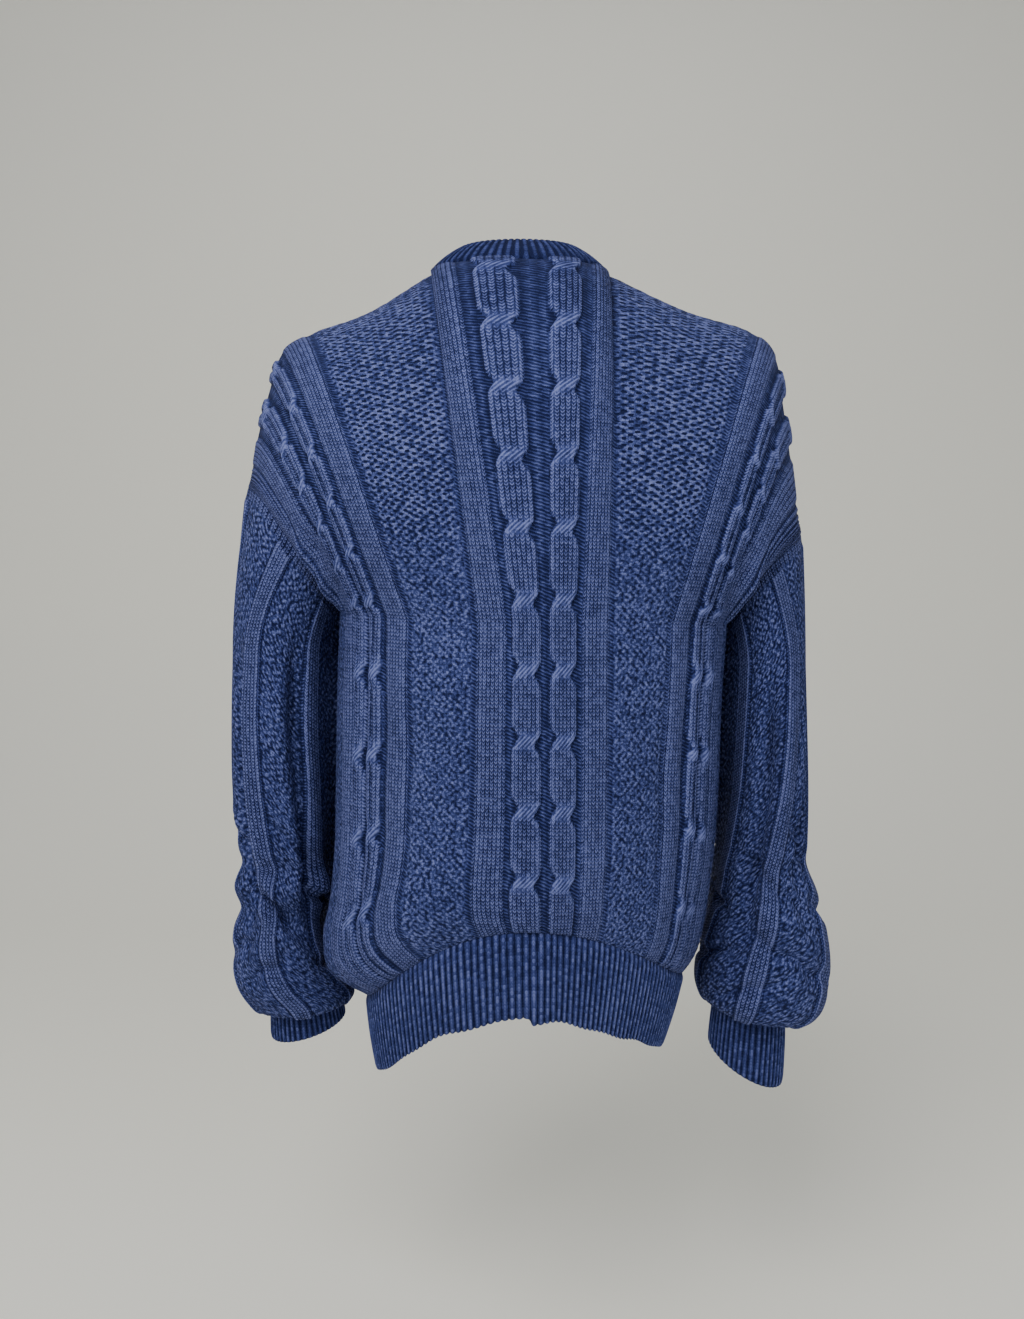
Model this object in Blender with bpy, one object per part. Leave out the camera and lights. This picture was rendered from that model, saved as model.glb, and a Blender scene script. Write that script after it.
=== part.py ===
"""A cable knit sweater, hollow and open, in the shape it has when it is worn.

Metres, Z up. The back of the garment faces -Y, its front +Y and the wearer's left sleeve -X.
The origin is the middle of the neck opening, level with the points where shoulder and neck meet.

Every piece is a wall: its outer skin carries the raised knitting (cables, bands and ribs) and its
inner skin is plain. Flat distances across a panel are measured on the knitted piece from its
middle line, and each row of a panel is that flat line laid on the worn form.
"""

import math

import bmesh
import bpy
import numpy as np

# Cloth
WALL = 0.0024              # plain knitting, between the raised patterns
SEAM_GAP = 0.0003          # between two pieces that are sewn together
EASE_AT_EDGE = SEAM_GAP / 2
CLOTH_COLOUR = (0.040, 0.064, 0.165, 1.0)
RIB_COLOUR = (0.030, 0.050, 0.140, 1.0)
CLOTH_ROUGHNESS = 0.88

# The body below the armholes, as one oval section for each height
UNDERARM_LEVEL = {"back": -0.310, "front": -0.318, "left": -0.300, "right": -0.312}
RIB_TOP_LEVEL = {"back": -0.556, "front": -0.602, "left": -0.646, "right": -0.625}
RIB_BOTTOM_LEVEL = {"back": -0.628, "front": -0.670, "left": -0.711, "right": -0.687}
OVAL_POWER = 2.15
# rise: share of the way from the hem rib to the underarm
# left, right: where the side seams are; back, front: how far the middle lies behind and before them
BODY_SECTIONS = (
    # rise, left, right, back, front
    (0.00, -0.1480, 0.1380, 0.130, 0.130),
    (0.05, -0.1755, 0.1480, 0.136, 0.138),
    (0.15, -0.1870, 0.1570, 0.141, 0.146),
    (0.24, -0.1815, 0.1610, 0.143, 0.148),
    (0.37, -0.1770, 0.1660, 0.144, 0.149),
    (0.54, -0.1755, 0.1695, 0.145, 0.149),
    (0.76, -0.1745, 0.1720, 0.145, 0.148),
    (1.00, -0.1720, 0.1770, 0.143, 0.144),
)
MIDDLE_LINE_X = {"hem": 0.0095, "neck": 0.0010}

# The shoulders. Each row gives where a flat distance from the middle line meets the shoulder seam.
NECK_CENTRE_X = -0.0106
NECK_HALF_WIDTH = 0.080
NECK_DEPTH = {"back": 0.080, "front": 0.086}
NECK_SIDE_LEVEL = 0.008
NECK_DROP = {"back": 0.012, "front": 0.078}
SHOULDER_SEAM = {
    # flat distance, x, z
    "left": (
        (0.0545, -0.0906, 0.008),
        (0.0800, -0.1490, -0.028),
        (0.1050, -0.2010, -0.047),
        (0.1295, -0.2285, -0.064),
        (0.1515, -0.2400, -0.098),
        (0.1715, -0.2500, -0.138),
        (0.1900, -0.2545, -0.164),
        (0.2500, -0.2595, -0.186),
    ),
    "right": (
        (0.0545, 0.0694, 0.008),
        (0.0800, 0.1410, -0.026),
        (0.1050, 0.2030, -0.046),
        (0.1295, 0.2260, -0.070),
        (0.1515, 0.2330, -0.113),
        (0.1715, 0.2390, -0.155),
        (0.1900, 0.2440, -0.196),
        (0.2500, 0.2490, -0.228),
    ),
}
# The armhole seam from the underarm (climb 0) to the shoulder (climb 1); reach is how far it lies
# behind the side seam on the back panel, and before it on the front panel
ARMHOLE_SEAM = {
    # climb, x, reach, z
    "left": (
        (0.00, -0.1720, 0.000, -0.300),
        (0.30, -0.1840, 0.044, -0.276),
        (0.60, -0.2080, 0.058, -0.240),
        (0.85, -0.2400, 0.038, -0.199),
        (1.00, -0.2595, 0.000, -0.186),
    ),
    "right": (
        (0.00, 0.1770, 0.000, -0.312),
        (0.30, 0.1870, 0.042, -0.288),
        (0.60, 0.2090, 0.056, -0.259),
        (0.85, 0.2360, 0.037, -0.238),
        (1.00, 0.2490, 0.000, -0.228),
    ),
}
ARMHOLE_PULL = 2.6         # how soon the panel gives way towards its armhole seam
# How far a panel has turned over, in degrees, where it meets the neckline and the shoulder seam
YOKE_TURN = {"back": 85.0, "front": 70.0, "shoulder": 88.0}
YOKE_ROUNDS_OVER = 0.05
SHOULDER_BLADE = 0.010

# The knitted pattern of a panel, from its middle line outwards
FLAT_HALF_WIDTH = 0.250
CABLE_PERIOD_ROWS = 4
FIRST_CROSSING_ROW = 3
CABLE_PINCH = 0.22
LOWER_ROWS = 19
UPPER_ROWS = 24
LAST_ROWS = (0.45, 0.75)   # more rows in the last step below the neckline, as shares of it
BAND = 0.0013
MOSS = 0.0006
# place: flat distance; raise: how far the knitting stands up; cross: the same where strands cross;
# cable: the middle of the cable that the line belongs to, and nothing for a plain line
PATTERN_LINES = (
    # place, raise, cross, cable
    (0.0000, 0.0, 0.0, None),
    (0.0030, 0.0, 0.0, 0.0140),
    (0.0085, 0.0034, 0.0024, 0.0140),
    (0.0140, 0.0016, 0.0040, 0.0140),
    (0.0195, 0.0034, 0.0024, 0.0140),
    (0.0250, 0.0, 0.0, 0.0140),
    (0.0295, BAND, BAND, None),
    (0.0365, BAND, BAND, None),
    (0.0435, BAND, BAND, None),
    (0.0505, BAND, BAND, None),
    (0.0545, 0.0002, 0.0002, None),
    (0.0800, MOSS, MOSS, None),
    (0.1050, MOSS, MOSS, None),
    (0.1085, BAND, BAND, None),
    (0.1295, BAND, BAND, None),
    (0.1315, 0.0, 0.0, None),
    (0.1415, 0.0026, 0.0036, None),
    (0.1515, 0.0003, 0.0003, None),
    (0.1615, 0.0026, 0.0036, None),
    (0.1715, 0.0, 0.0, None),
    (0.1900, BAND, BAND, None),
    (0.2200, MOSS, MOSS, None),
    (0.2500, 0.0, 0.0, None),
)
PLAIN_SIDE_LINES = (0, 3, 6, 7, 8, 9, 10, 11, 12, 14, 17, 19, 21, 22)    # that the inner skin keeps
PLAIN_SIDE_ROWS = (0, 3, 7, 11, 15, 19, 22, 25, 28, 31, 34, 37, 39, 41, 42, 43, 44, 45)

# Sleeves below the armhole: out is the side away from the body, thick is half the depth
SLEEVE_SECTIONS = {
    # z, out, in, y, thick, twist of the bands in degrees, and how much lower the outer side lies
    "left": (
        (-0.340, -0.2695, -0.1860, 0.000, 0.054, 0, 0),
        (-0.400, -0.2705, -0.1870, 0.000, 0.055, 0, 0),
        (-0.460, -0.2695, -0.1870, 0.002, 0.055, 4, 0),
        (-0.508, -0.2640, -0.1890, 0.004, 0.054, 10, 0),
        (-0.527, -0.2605, -0.1915, 0.006, 0.050, 14, 0),
        (-0.548, -0.2680, -0.1940, 0.008, 0.056, 18, 0),
        (-0.569, -0.2630, -0.1980, 0.010, 0.049, 20, 0),
        (-0.590, -0.2700, -0.1965, 0.011, 0.056, 22, 0),
        (-0.614, -0.2715, -0.1910, 0.012, 0.058, 24, 0),
        (-0.634, -0.2690, -0.1785, 0.012, 0.056, 26, 0.002),
        (-0.650, -0.2610, -0.1660, 0.012, 0.050, 28, 0.003),
        (-0.660, -0.2500, -0.1700, 0.012, 0.043, 30, 0.003),
        (-0.648, -0.2425, -0.1755, 0.012, 0.036, 30, 0.001),
        (-0.641, -0.2365, -0.1845, 0.012, 0.029, 30, 0.000),
    ),
    "right": (
        (-0.350, 0.2495, 0.1855, 0.000, 0.052, 0, 0),
        (-0.400, 0.2500, 0.1845, 0.000, 0.053, 4, 0),
        (-0.460, 0.2505, 0.1840, 0.002, 0.054, 12, 0),
        (-0.508, 0.2500, 0.1810, 0.004, 0.054, 22, 0),
        (-0.530, 0.2500, 0.1780, 0.005, 0.052, 26, 0),
        (-0.553, 0.2600, 0.1750, 0.006, 0.056, 30, 0.002),
        (-0.580, 0.2685, 0.1690, 0.008, 0.059, 34, 0.004),
        (-0.606, 0.2735, 0.1620, 0.009, 0.061, 38, 0.006),
        (-0.628, 0.2735, 0.1575, 0.010, 0.060, 40, 0.010),
        (-0.646, 0.2680, 0.1570, 0.010, 0.056, 42, 0.014),
        (-0.658, 0.2560, 0.1620, 0.011, 0.049, 44, 0.015),
        (-0.660, 0.2450, 0.1670, 0.012, 0.041, 45, 0.013),
        (-0.650, 0.2400, 0.1700, 0.012, 0.036, 45, 0.010),
        (-0.643, 0.2345, 0.1775, 0.012, 0.029, 45, 0.008),
    ),
}
SLEEVE_TOP_ROWS = 4
SLEEVE_BANDS = 5
FIRST_BAND_ANGLE = 71.0    # of the band's middle, from the outer side round the back, in degrees
BAND_ANGLE = 30.0
BAND_EDGE_ANGLE = 4.0

# Ribs
RIB_RAISE = 0.0015
RIB_START = 0.10           # share of a rib's length over which it rises from the seam
HEM_RIBS_EACH_SIDE = 60
HEM_BOTTOM = {"left": -0.1385, "right": 0.1190, "back": 0.123, "front": 0.125}
NECKBAND_RIBS = 70
NECKBAND_TOP = {"half_width": 0.0530, "back": 0.061, "front": 0.068}
NECKBAND_TOP_LEVEL = {"back": 0.019, "side": 0.028, "front": -0.046}
CUFF_RIBS = 36
CUFFS = {
    # middle and half width of the open end, its level on the outer and the inner side, how much
    # lower it is at the back, and its place and half depth from front to back
    "left": {
        "x": -0.2065, "half": 0.0325, "out_z": -0.693, "in_z": -0.677,
        "dip": 0.003, "y": 0.014, "thick": 0.030,
    },
    "right": {
        "x": 0.2010, "half": 0.0325, "out_z": -0.733, "in_z": -0.702,
        "dip": 0.009, "y": 0.014, "thick": 0.029,
    },
}

DENSE = 121                # points worked out along a curve before it is divided evenly


def glide(table, column, at):
    """Value of one column of a table whose first column rises or falls steadily, without corners."""
    keys = np.array([row[0] for row in table], float)
    values = np.array([row[column] for row in table], float)
    if keys[0] > keys[-1]:
        keys, values = keys[::-1], values[::-1]
    slopes = np.gradient(values, keys)
    at = np.clip(np.asarray(at, float), keys[0], keys[-1])
    low = np.clip(np.searchsorted(keys, at, side="right") - 1, 0, len(keys) - 2)
    span = keys[low + 1] - keys[low]
    part = (at - keys[low]) / span
    rest = 1 - part
    return (
        values[low] * (1 + 2 * part) * rest**2
        + slopes[low] * span * part * rest**2
        + values[low + 1] * part**2 * (3 - 2 * part)
        - slopes[low + 1] * span * part**2 * rest
    )


def unit(vectors):
    return vectors / np.linalg.norm(vectors, axis=-1, keepdims=True)


def along(points, shares):
    """Points at shares of a curve's own length."""
    steps = np.linalg.norm(np.diff(points, axis=0), axis=1)
    length = np.concatenate(([0], np.cumsum(steps)))
    wanted = np.asarray(shares) * length[-1]
    return np.stack([np.interp(wanted, length, points[:, k]) for k in range(3)], axis=1)


def rounded(angle, turn):
    """A sine or cosine bent towards a slightly squarer oval."""
    value = turn(angle)
    return np.sign(value) * np.abs(value) ** (2 / OVAL_POWER)


def oval(left, right, depth, face, levels, line_x, flat):
    """Half an oval from the left to the right side seam, at flat distances from the middle line."""
    angle = np.linspace(-math.pi / 2, math.pi / 2, DENSE)
    outward = -1 if face == "back" else 1
    side = np.where(angle < 0, levels["left"], levels["right"])
    x = (left + right) / 2 + (right - left) / 2 * rounded(angle, np.sin)
    y = outward * depth * np.abs(rounded(angle, np.cos))
    z = side + (levels[face] - side) * np.cos(angle) ** 2
    curve = np.stack([x, y, z], axis=1)
    middle = np.array([np.interp(line_x, x, curve[:, k]) for k in range(3)])
    left_half = np.vstack([middle, curve[x < line_x][::-1]])
    right_half = np.vstack([middle, curve[x > line_x]])
    share = np.abs(flat) / FLAT_HALF_WIDTH
    return np.where(
        (flat < 0)[:, None], along(left_half, share), along(right_half, share)
    )


def body_row(face, rise, flat):
    """A row of a panel between the hem rib (rise 0) and the underarm (rise 1)."""
    column = 3 if face == "back" else 4
    levels = {
        key: RIB_TOP_LEVEL[key] + rise * (UNDERARM_LEVEL[key] - RIB_TOP_LEVEL[key])
        for key in RIB_TOP_LEVEL
    }
    left, right, depth = (float(glide(BODY_SECTIONS, c, rise)) for c in (1, 2, column))
    return oval(left, right, depth, face, levels, MIDDLE_LINE_X["hem"], flat)


def top_edge(face, flat):
    """Where each flat distance ends: on the neckline, and further out on the shoulder seam."""
    outward = -1 if face == "back" else 1
    neck = SHOULDER_SEAM["left"][0][0]
    lean = math.asin((MIDDLE_LINE_X["neck"] - NECK_CENTRE_X) / NECK_HALF_WIDTH)
    reach = np.clip(np.abs(flat) / neck, 0, 1)
    angle = lean + (np.sign(flat) * math.pi / 2 - lean) * reach
    points = np.stack(
        [
            NECK_CENTRE_X + NECK_HALF_WIDTH * np.sin(angle),
            outward * NECK_DEPTH[face] * np.cos(angle),
            NECK_SIDE_LEVEL - NECK_DROP[face] * np.abs(np.cos(angle)) ** 1.5,
        ],
        axis=1,
    )
    for side, sign in (("left", -1), ("right", 1)):
        beyond = sign * flat > neck
        table = SHOULDER_SEAM[side]
        distance = sign * flat[beyond]
        points[beyond] = np.stack(
            [glide(table, 1, distance), np.zeros(beyond.sum()), glide(table, 2, distance)],
            axis=1,
        )
    return points


def eased(face, low, high, climb, flat):
    """From one row to another as part of an oval: it leaves the lower upright and leans in."""
    neck = SHOULDER_SEAM["left"][0][0]
    beyond = np.clip((np.abs(flat) - neck) / YOKE_ROUNDS_OVER, 0, 1)
    end = np.radians(YOKE_TURN[face] + (YOKE_TURN["shoulder"] - YOKE_TURN[face]) * beyond)
    upward = np.sin(climb * end) / np.sin(end)
    inward = (1 - np.cos(climb * end)) / (1 - np.cos(end))
    fan = np.abs(flat) / FLAT_HALF_WIDTH
    sideways = fan * climb + (1 - fan) * upward
    return low + (high - low) * np.stack([sideways, inward, upward], axis=1)


def yoke_row(face, climb, flat):
    """A row of a panel between the underarm (climb 0) and the shoulder (climb 1)."""
    outward = -1 if face == "back" else 1
    points = eased(face, body_row(face, 1.0, flat), top_edge(face, flat), climb, flat)
    share = np.abs(flat) / FLAT_HALF_WIDTH
    blade = SHOULDER_BLADE * math.sin(math.pi * climb) * np.sin(math.pi * share)
    points[:, 1] += outward * blade
    for side, sign in (("left", -1), ("right", 1)):
        edge = np.array([sign * FLAT_HALF_WIDTH])
        start = eased(face, body_row(face, 1.0, edge), top_edge(face, edge), climb, edge)[0]
        table = ARMHOLE_SEAM[side]
        seam = np.array(
            [
                glide(table, 1, climb),
                outward * glide(table, 2, climb),
                glide(table, 3, climb),
            ]
        )
        on_side = sign * flat > 0
        pull = share[on_side, None] ** ARMHOLE_PULL
        points[on_side] += (seam - start) * pull
    return points


def panel_row(face, level, flat):
    if level <= 1:
        return body_row(face, level, flat)
    return yoke_row(face, level - 1, flat)


def row_levels():
    """Levels of a panel's rows: 0 at the hem rib, 1 at the underarm, 2 at the shoulder."""
    lower = np.linspace(0, 1, LOWER_ROWS + 1)
    climbs = np.linspace(0, 1, DENSE)
    middle = np.array([yoke_row("back", climb, np.array([0.0]))[0] for climb in climbs])
    steps = np.linalg.norm(np.diff(middle, axis=0), axis=1)
    length = np.concatenate(([0], np.cumsum(steps)))
    even = np.linspace(0, length[-1], UPPER_ROWS + 1)[1:]
    upper = np.interp(even, length, climbs)
    last = upper[-2] + (1 - upper[-2]) * np.array(LAST_ROWS)
    return 1 + np.concatenate((lower - 1, upper[:-1], last, [1]))


def pattern(row):
    """Flat places and raised heights of a panel's lines in one row, left side first."""
    phase = (row - FIRST_CROSSING_ROW) % CABLE_PERIOD_ROWS
    places, heights = [], []
    for place, plain, cross, cable in PATTERN_LINES:
        crossing = phase == 0
        if cable is not None and crossing:
            place = cable + (place - cable) * (1 - CABLE_PINCH)
        places.append(place)
        heights.append(cross if crossing else plain)
    places, heights = np.array(places), np.array(heights)
    return (
        np.concatenate((-places[:0:-1], places)),
        np.concatenate((heights[:0:-1], heights)),
    )


def grid_normals(grid, outward):
    """Unit normals of a grid of points, on the same side as the given rough direction."""
    across = np.gradient(grid, axis=1)
    along_rows = np.gradient(grid, axis=0)
    normals = unit(np.cross(across, along_rows))
    flip = np.sign(np.sum(normals * outward, axis=-1).sum())
    return normals * (flip if flip else 1)


def calmed(normals, times=3):
    """Normals evened out with those of their neighbours, for narrow and leaning cells."""
    for _ in range(times):
        wide = np.pad(normals, ((1, 1), (1, 1), (0, 0)), mode="edge")
        around = wide[:-2, 1:-1] + wide[2:, 1:-1] + wide[1:-1, :-2] + wide[1:-1, 2:]
        normals = unit(normals + around)
    return normals


def zip_rows(first, second, first_at, second_at):
    """Triangles between two rows of vertices whose places along the row are given."""
    faces = []
    i = j = 0
    while i < len(first) - 1 or j < len(second) - 1:
        more_first = i < len(first) - 1
        more_second = j < len(second) - 1
        if more_first and (
            not more_second
            or first_at[i] + first_at[i + 1] <= second_at[j] + second_at[j + 1]
        ):
            faces.append((first[i], second[j], first[i + 1]))
            i += 1
        else:
            faces.append((first[i], second[j], second[j + 1]))
            j += 1
    return faces


def build_wall(name, chain, closed, colour, outer_levels=(), inner_levels=()):
    """One solid from rows that go up its outer skin and down its inner skin.

    Each row of the chain is (points, places). A closed row is a ring. An open one is capped at
    both ends, between its outer and its inner rows, whose levels are given.
    """
    vertices, rows = [], []
    for points, places in chain:
        start = len(vertices)
        vertices.extend(map(tuple, points))
        index = list(range(start, start + len(points)))
        places = list(places)
        if closed:
            index.append(start)
            places.append(places[0] + 1)
        rows.append((index, places))
    faces = []
    for low, high in zip(rows, rows[1:] + rows[:1]):
        faces += zip_rows(low[0], high[0], low[1], high[1])
    if not closed:
        turn = len(outer_levels)
        for end in (0, -1):
            outer = [row[0][end] for row in rows[:turn]]
            inner = [row[0][end] for row in rows[turn:]][::-1]
            faces += zip_rows(outer, inner, outer_levels, inner_levels)
    mesh = bpy.data.meshes.new(name)
    edit = bmesh.new()
    made = [edit.verts.new(v) for v in vertices]
    for face in faces:
        edit.faces.new([made[v] for v in face])
    bmesh.ops.recalc_face_normals(edit, faces=edit.faces[:])
    edit.to_mesh(mesh)
    edit.free()
    mesh.shade_smooth()
    mesh.set_sharp_from_angle(angle=math.radians(55))
    material = bpy.data.materials.new(name)
    material.use_nodes = True
    shader = material.node_tree.nodes["Principled BSDF"]
    shader.inputs["Base Color"].default_value = colour
    shader.inputs["Roughness"].default_value = CLOTH_ROUGHNESS
    shader.inputs["Metallic"].default_value = 0.0
    mesh.materials.append(material)
    obj = bpy.data.objects.new(name, mesh)
    bpy.context.scene.collection.objects.link(obj)
    return obj


def seam_from(points, normals, places):
    """A seam that two pieces share: its outer points, its normals and its places along it."""
    return {"points": points, "normals": normals, "places": places}


class Panel:
    """The plain surface of the back or the front, with its normals and its raised pattern."""

    def __init__(self, face, levels):
        self.face = face
        self.levels = levels
        self.outward = np.array([0.0, -1.0 if face == "back" else 1.0, 0.0])
        rows = [pattern(k) for k in range(len(levels))]
        self.flat = np.array([row[0] for row in rows])
        self.raised = np.array([row[1] for row in rows])
        self.raised[[0, -1]] = 0
        self.raised[:, [0, -1]] = 0
        self.grid = np.array(
            [panel_row(face, level, flat) for level, flat in zip(levels, self.flat)]
        )
        self.normals = calmed(grid_normals(self.grid, self.outward))
        self.settle_edges()

    def settle_edges(self):
        """Normals on the seams, so that both pieces at a seam turn the same way."""
        side_rows = slice(0, LOWER_ROWS + 1)
        self.normals[side_rows, 0] = (-1, 0, 0)
        self.normals[side_rows, -1] = (1, 0, 0)
        bottom = self.normals[0] * (1, 1, 0)
        bottom[0], bottom[-1] = (-1, 0, 0), (1, 0, 0)
        self.normals[0] = unit(bottom)
        top = self.grid[-1]
        run = np.gradient(top, axis=0)
        over = np.cross(run, (0, 1, 0))
        over *= np.sign(over[:, 2:3])
        neck_line = SHOULDER_SEAM["left"][0][0]
        flat = np.abs(self.flat[-1])
        beyond = flat > neck_line + 1e-6
        self.normals[-1][beyond] = unit(over[beyond])
        self.neck = np.flatnonzero(~beyond)
        away = top[self.neck] - (NECK_CENTRE_X, 0, 0)
        away[:, 2] = 0
        self.normals[-1][self.neck] = unit(self.normals[-1][self.neck] + unit(away) * 0.6)
        corners = self.neck[[0, -1]]
        self.normals[-1][corners] = unit(self.normals[-1][corners] * (1, 0, 1))

    def wall_points(self):
        """Outer and inner points, drawn back a little from every seam."""
        outer = self.grid + self.normals * self.raised[..., None]
        inner = self.grid - self.normals * WALL
        drawn = []
        for skin in (outer, inner):
            shift = skin.copy()
            base = self.grid if skin is outer else inner
            for edge, near in ((0, 1), (-1, -2)):
                shift[edge] += unit(base[near] - base[edge]) * EASE_AT_EDGE
                shift[:, edge] += unit(base[:, near] - base[:, edge]) * EASE_AT_EDGE
            drawn.append(shift)
        return drawn

    def build(self):
        outer, inner = self.wall_points()
        count = len(PATTERN_LINES)
        columns = [count - 1 - k for k in PLAIN_SIDE_LINES[:0:-1]]
        columns += [count - 1 + k for k in PLAIN_SIDE_LINES]
        places = np.linspace(0, 1, outer.shape[1])
        chain = [(outer[k], places) for k in range(len(outer))]
        for k in reversed(PLAIN_SIDE_ROWS):
            chosen = list(range(outer.shape[1])) if k in (0, len(outer) - 1) else columns
            chain.append((inner[k][chosen], places[chosen]))
        inner_levels = self.levels[list(PLAIN_SIDE_ROWS)]
        build_wall(self.face, chain, False, CLOTH_COLOUR, self.levels, inner_levels)


def sleeve_angle(u):
    """From the underarm (0) round the back to the outer side (half) and round the front."""
    return math.pi * (1 - 2 * np.asarray(u))


def sleeve_section(row, u):
    z, out, inner, y, thick, twist, drop = row
    angle = sleeve_angle(u)
    x = (out + inner) / 2 + (out - inner) / 2 * rounded(angle, np.cos)
    depth = y - thick * rounded(angle, np.sin)
    level = z - drop * (1 + np.cos(angle)) / 2
    return np.stack([x, depth, level], axis=1)


def sleeve_head(ring, section, way):
    """From the armhole to the first section: the cloth swells at once and then hangs down."""
    swell = math.sin(way * math.pi / 2)
    return ring + (section - ring) * (swell, swell, way)


def sleeve_lines(twist):
    """Places round a sleeve of the edges of its raised bands, and how far each stands up."""
    lines = []
    for k in range(SLEEVE_BANDS):
        middle = FIRST_BAND_ANGLE + twist + k * 360 / SLEEVE_BANDS
        half = BAND_ANGLE / 2
        for offset, height in (
            (-half - BAND_EDGE_ANGLE, MOSS),
            (-half, MOSS + BAND),
            (half, MOSS + BAND),
            (half + BAND_EDGE_ANGLE, MOSS),
        ):
            lines.append((((180 - middle - offset) / 360), height))
    return lines


def armhole(back, front, side):
    """The armhole ring of one side, from the underarm up the back panel and down the front one."""
    column = 0 if side == "left" else -1
    rows = range(LOWER_ROWS, len(back.levels))
    points = [back.grid[k, column] for k in rows] + [
        front.grid[k, column] for k in list(rows)[-2:0:-1]
    ]
    climbs = back.levels[LOWER_ROWS:] - 1
    places = np.concatenate((climbs / 2, 1 - climbs[-2:0:-1] / 2))
    panels = np.array(
        [back.normals[k, column] for k in rows]
        + [front.normals[k, column] for k in list(rows)[-2:0:-1]]
    )
    kept = [k for k in rows if k in PLAIN_SIDE_ROWS]
    kept = [k - LOWER_ROWS for k in kept]
    kept += [2 * (len(rows) - 1) - k for k in kept[-2:0:-1]]
    return np.array(points), panels, places, np.array(kept)


def ring_value(places, values, at):
    """Values of a closed ring at other places round it."""
    wrapped = np.concatenate((places - 1, places, places + 1))
    triple = np.vstack((values, values, values))
    return np.stack([np.interp(at, wrapped, triple[:, k]) for k in range(3)], axis=1)


def ring_normals(rings):
    """Normals of a stack of closed rings with the same number of points."""
    stack = np.array(rings)
    across = np.roll(stack, -1, axis=1) - np.roll(stack, 1, axis=1)
    down = np.gradient(stack, axis=0)
    normals = unit(np.cross(across, down))
    centre = stack.mean(axis=1, keepdims=True)
    return normals * np.sign(np.sum(normals * (stack - centre), axis=-1).sum())


def build_sleeve(back, front, side):
    ring, panel_normals, places, kept = armhole(back, front, side)
    sections = SLEEVE_SECTIONS[side]
    first = sections[0]
    near = sleeve_section(first, places)
    step = sleeve_head(ring, near, 1 / SLEEVE_TOP_ROWS)
    cloth_normals = ring_normals([ring, step, sleeve_head(ring, near, 0.5)])[0]
    seam_normals = unit(unit(panel_normals) + cloth_normals)
    column = 0 if side == "left" else -1
    count = len(back.levels) - LOWER_ROWS
    back.normals[LOWER_ROWS:, column] = seam_normals[:count]
    front.normals[LOWER_ROWS, column] = seam_normals[0]
    front.normals[LOWER_ROWS + 1 :, column] = seam_normals[: count - 2 : -1]

    rings, heights, spots = [], [], []
    top_twist = first[5]
    for k in range(1, SLEEVE_TOP_ROWS + len(sections)):
        row = first if k <= SLEEVE_TOP_ROWS else sections[k - SLEEVE_TOP_ROWS]
        lines = sleeve_lines(top_twist if k <= SLEEVE_TOP_ROWS else row[5])
        at = np.array([line[0] for line in lines])[::-1]
        high = np.array([line[1] for line in lines])[::-1]
        points = sleeve_section(row, at)
        if k < SLEEVE_TOP_ROWS:
            points = sleeve_head(ring_value(places, ring, at), points, k / SLEEVE_TOP_ROWS)
        rings.append(points)
        heights.append(high)
        spots.append(at - at[0] + (at[0] % 1))
    normals = ring_normals(rings)
    heights[-1] = heights[-1] * 0
    base = np.array(rings)
    normals[-1] = unit(normals[-1] * (1, 1, 0))
    outer = base + normals * np.array(heights)[..., None]
    inner = base - normals * WALL
    step_down = unit(step - ring) * EASE_AT_EDGE
    ring_outer = ring + step_down
    ring_inner = ring - seam_normals * WALL + step_down
    lift = unit(base[-2] - base[-1]) * EASE_AT_EDGE
    outer[-1] += lift
    inner[-1] += lift
    shift = spots[0][0]
    ring_order = np.argsort((places - shift) % 1)
    ring_places = (places[ring_order] - shift) % 1
    chain = [(ring_outer[ring_order], ring_places)]
    even = spots[0] - shift
    chain += [(points, even) for points in outer]
    chain += [(points, even) for points in inner[::-1]]
    kept_order = kept[np.argsort((places[kept] - shift) % 1)]
    chain.append((ring_inner[kept_order], (places[kept_order] - shift) % 1))
    build_wall(f"sleeve_{side}", chain, True, CLOTH_COLOUR)
    return seam_from(base[-1], -normals[-1], even)


def rib_wave(steps):
    """Heights of a row of ribs: a crest and a valley for each rib."""
    return np.where(np.arange(steps) % 2 == 0, 0.0, RIB_RAISE)


def build_tube_rib(name, seam, end, ribs, colour):
    """A ring of ribbing from a seam to an open end, which is a function of the seam's points."""
    steps = ribs * 2
    at = np.arange(steps) / steps
    top = ring_value(seam["places"], seam["points"], at)
    bottom = end(top)
    start = top + (bottom - top) * RIB_START
    fine = ring_normals([top, (top + bottom) / 2, bottom])
    wave = rib_wave(steps)[:, None]
    drop = unit(end(seam["points"]) - seam["points"]) * EASE_AT_EDGE
    chain = [
        (seam["points"] + drop, seam["places"]),
        (start + fine[0] * wave, at),
        (bottom + fine[2] * wave, at),
        (bottom - fine[2] * WALL, at),
        (seam["points"] - seam["normals"] * WALL + drop, seam["places"]),
    ]
    build_wall(name, chain, True, colour)


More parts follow.
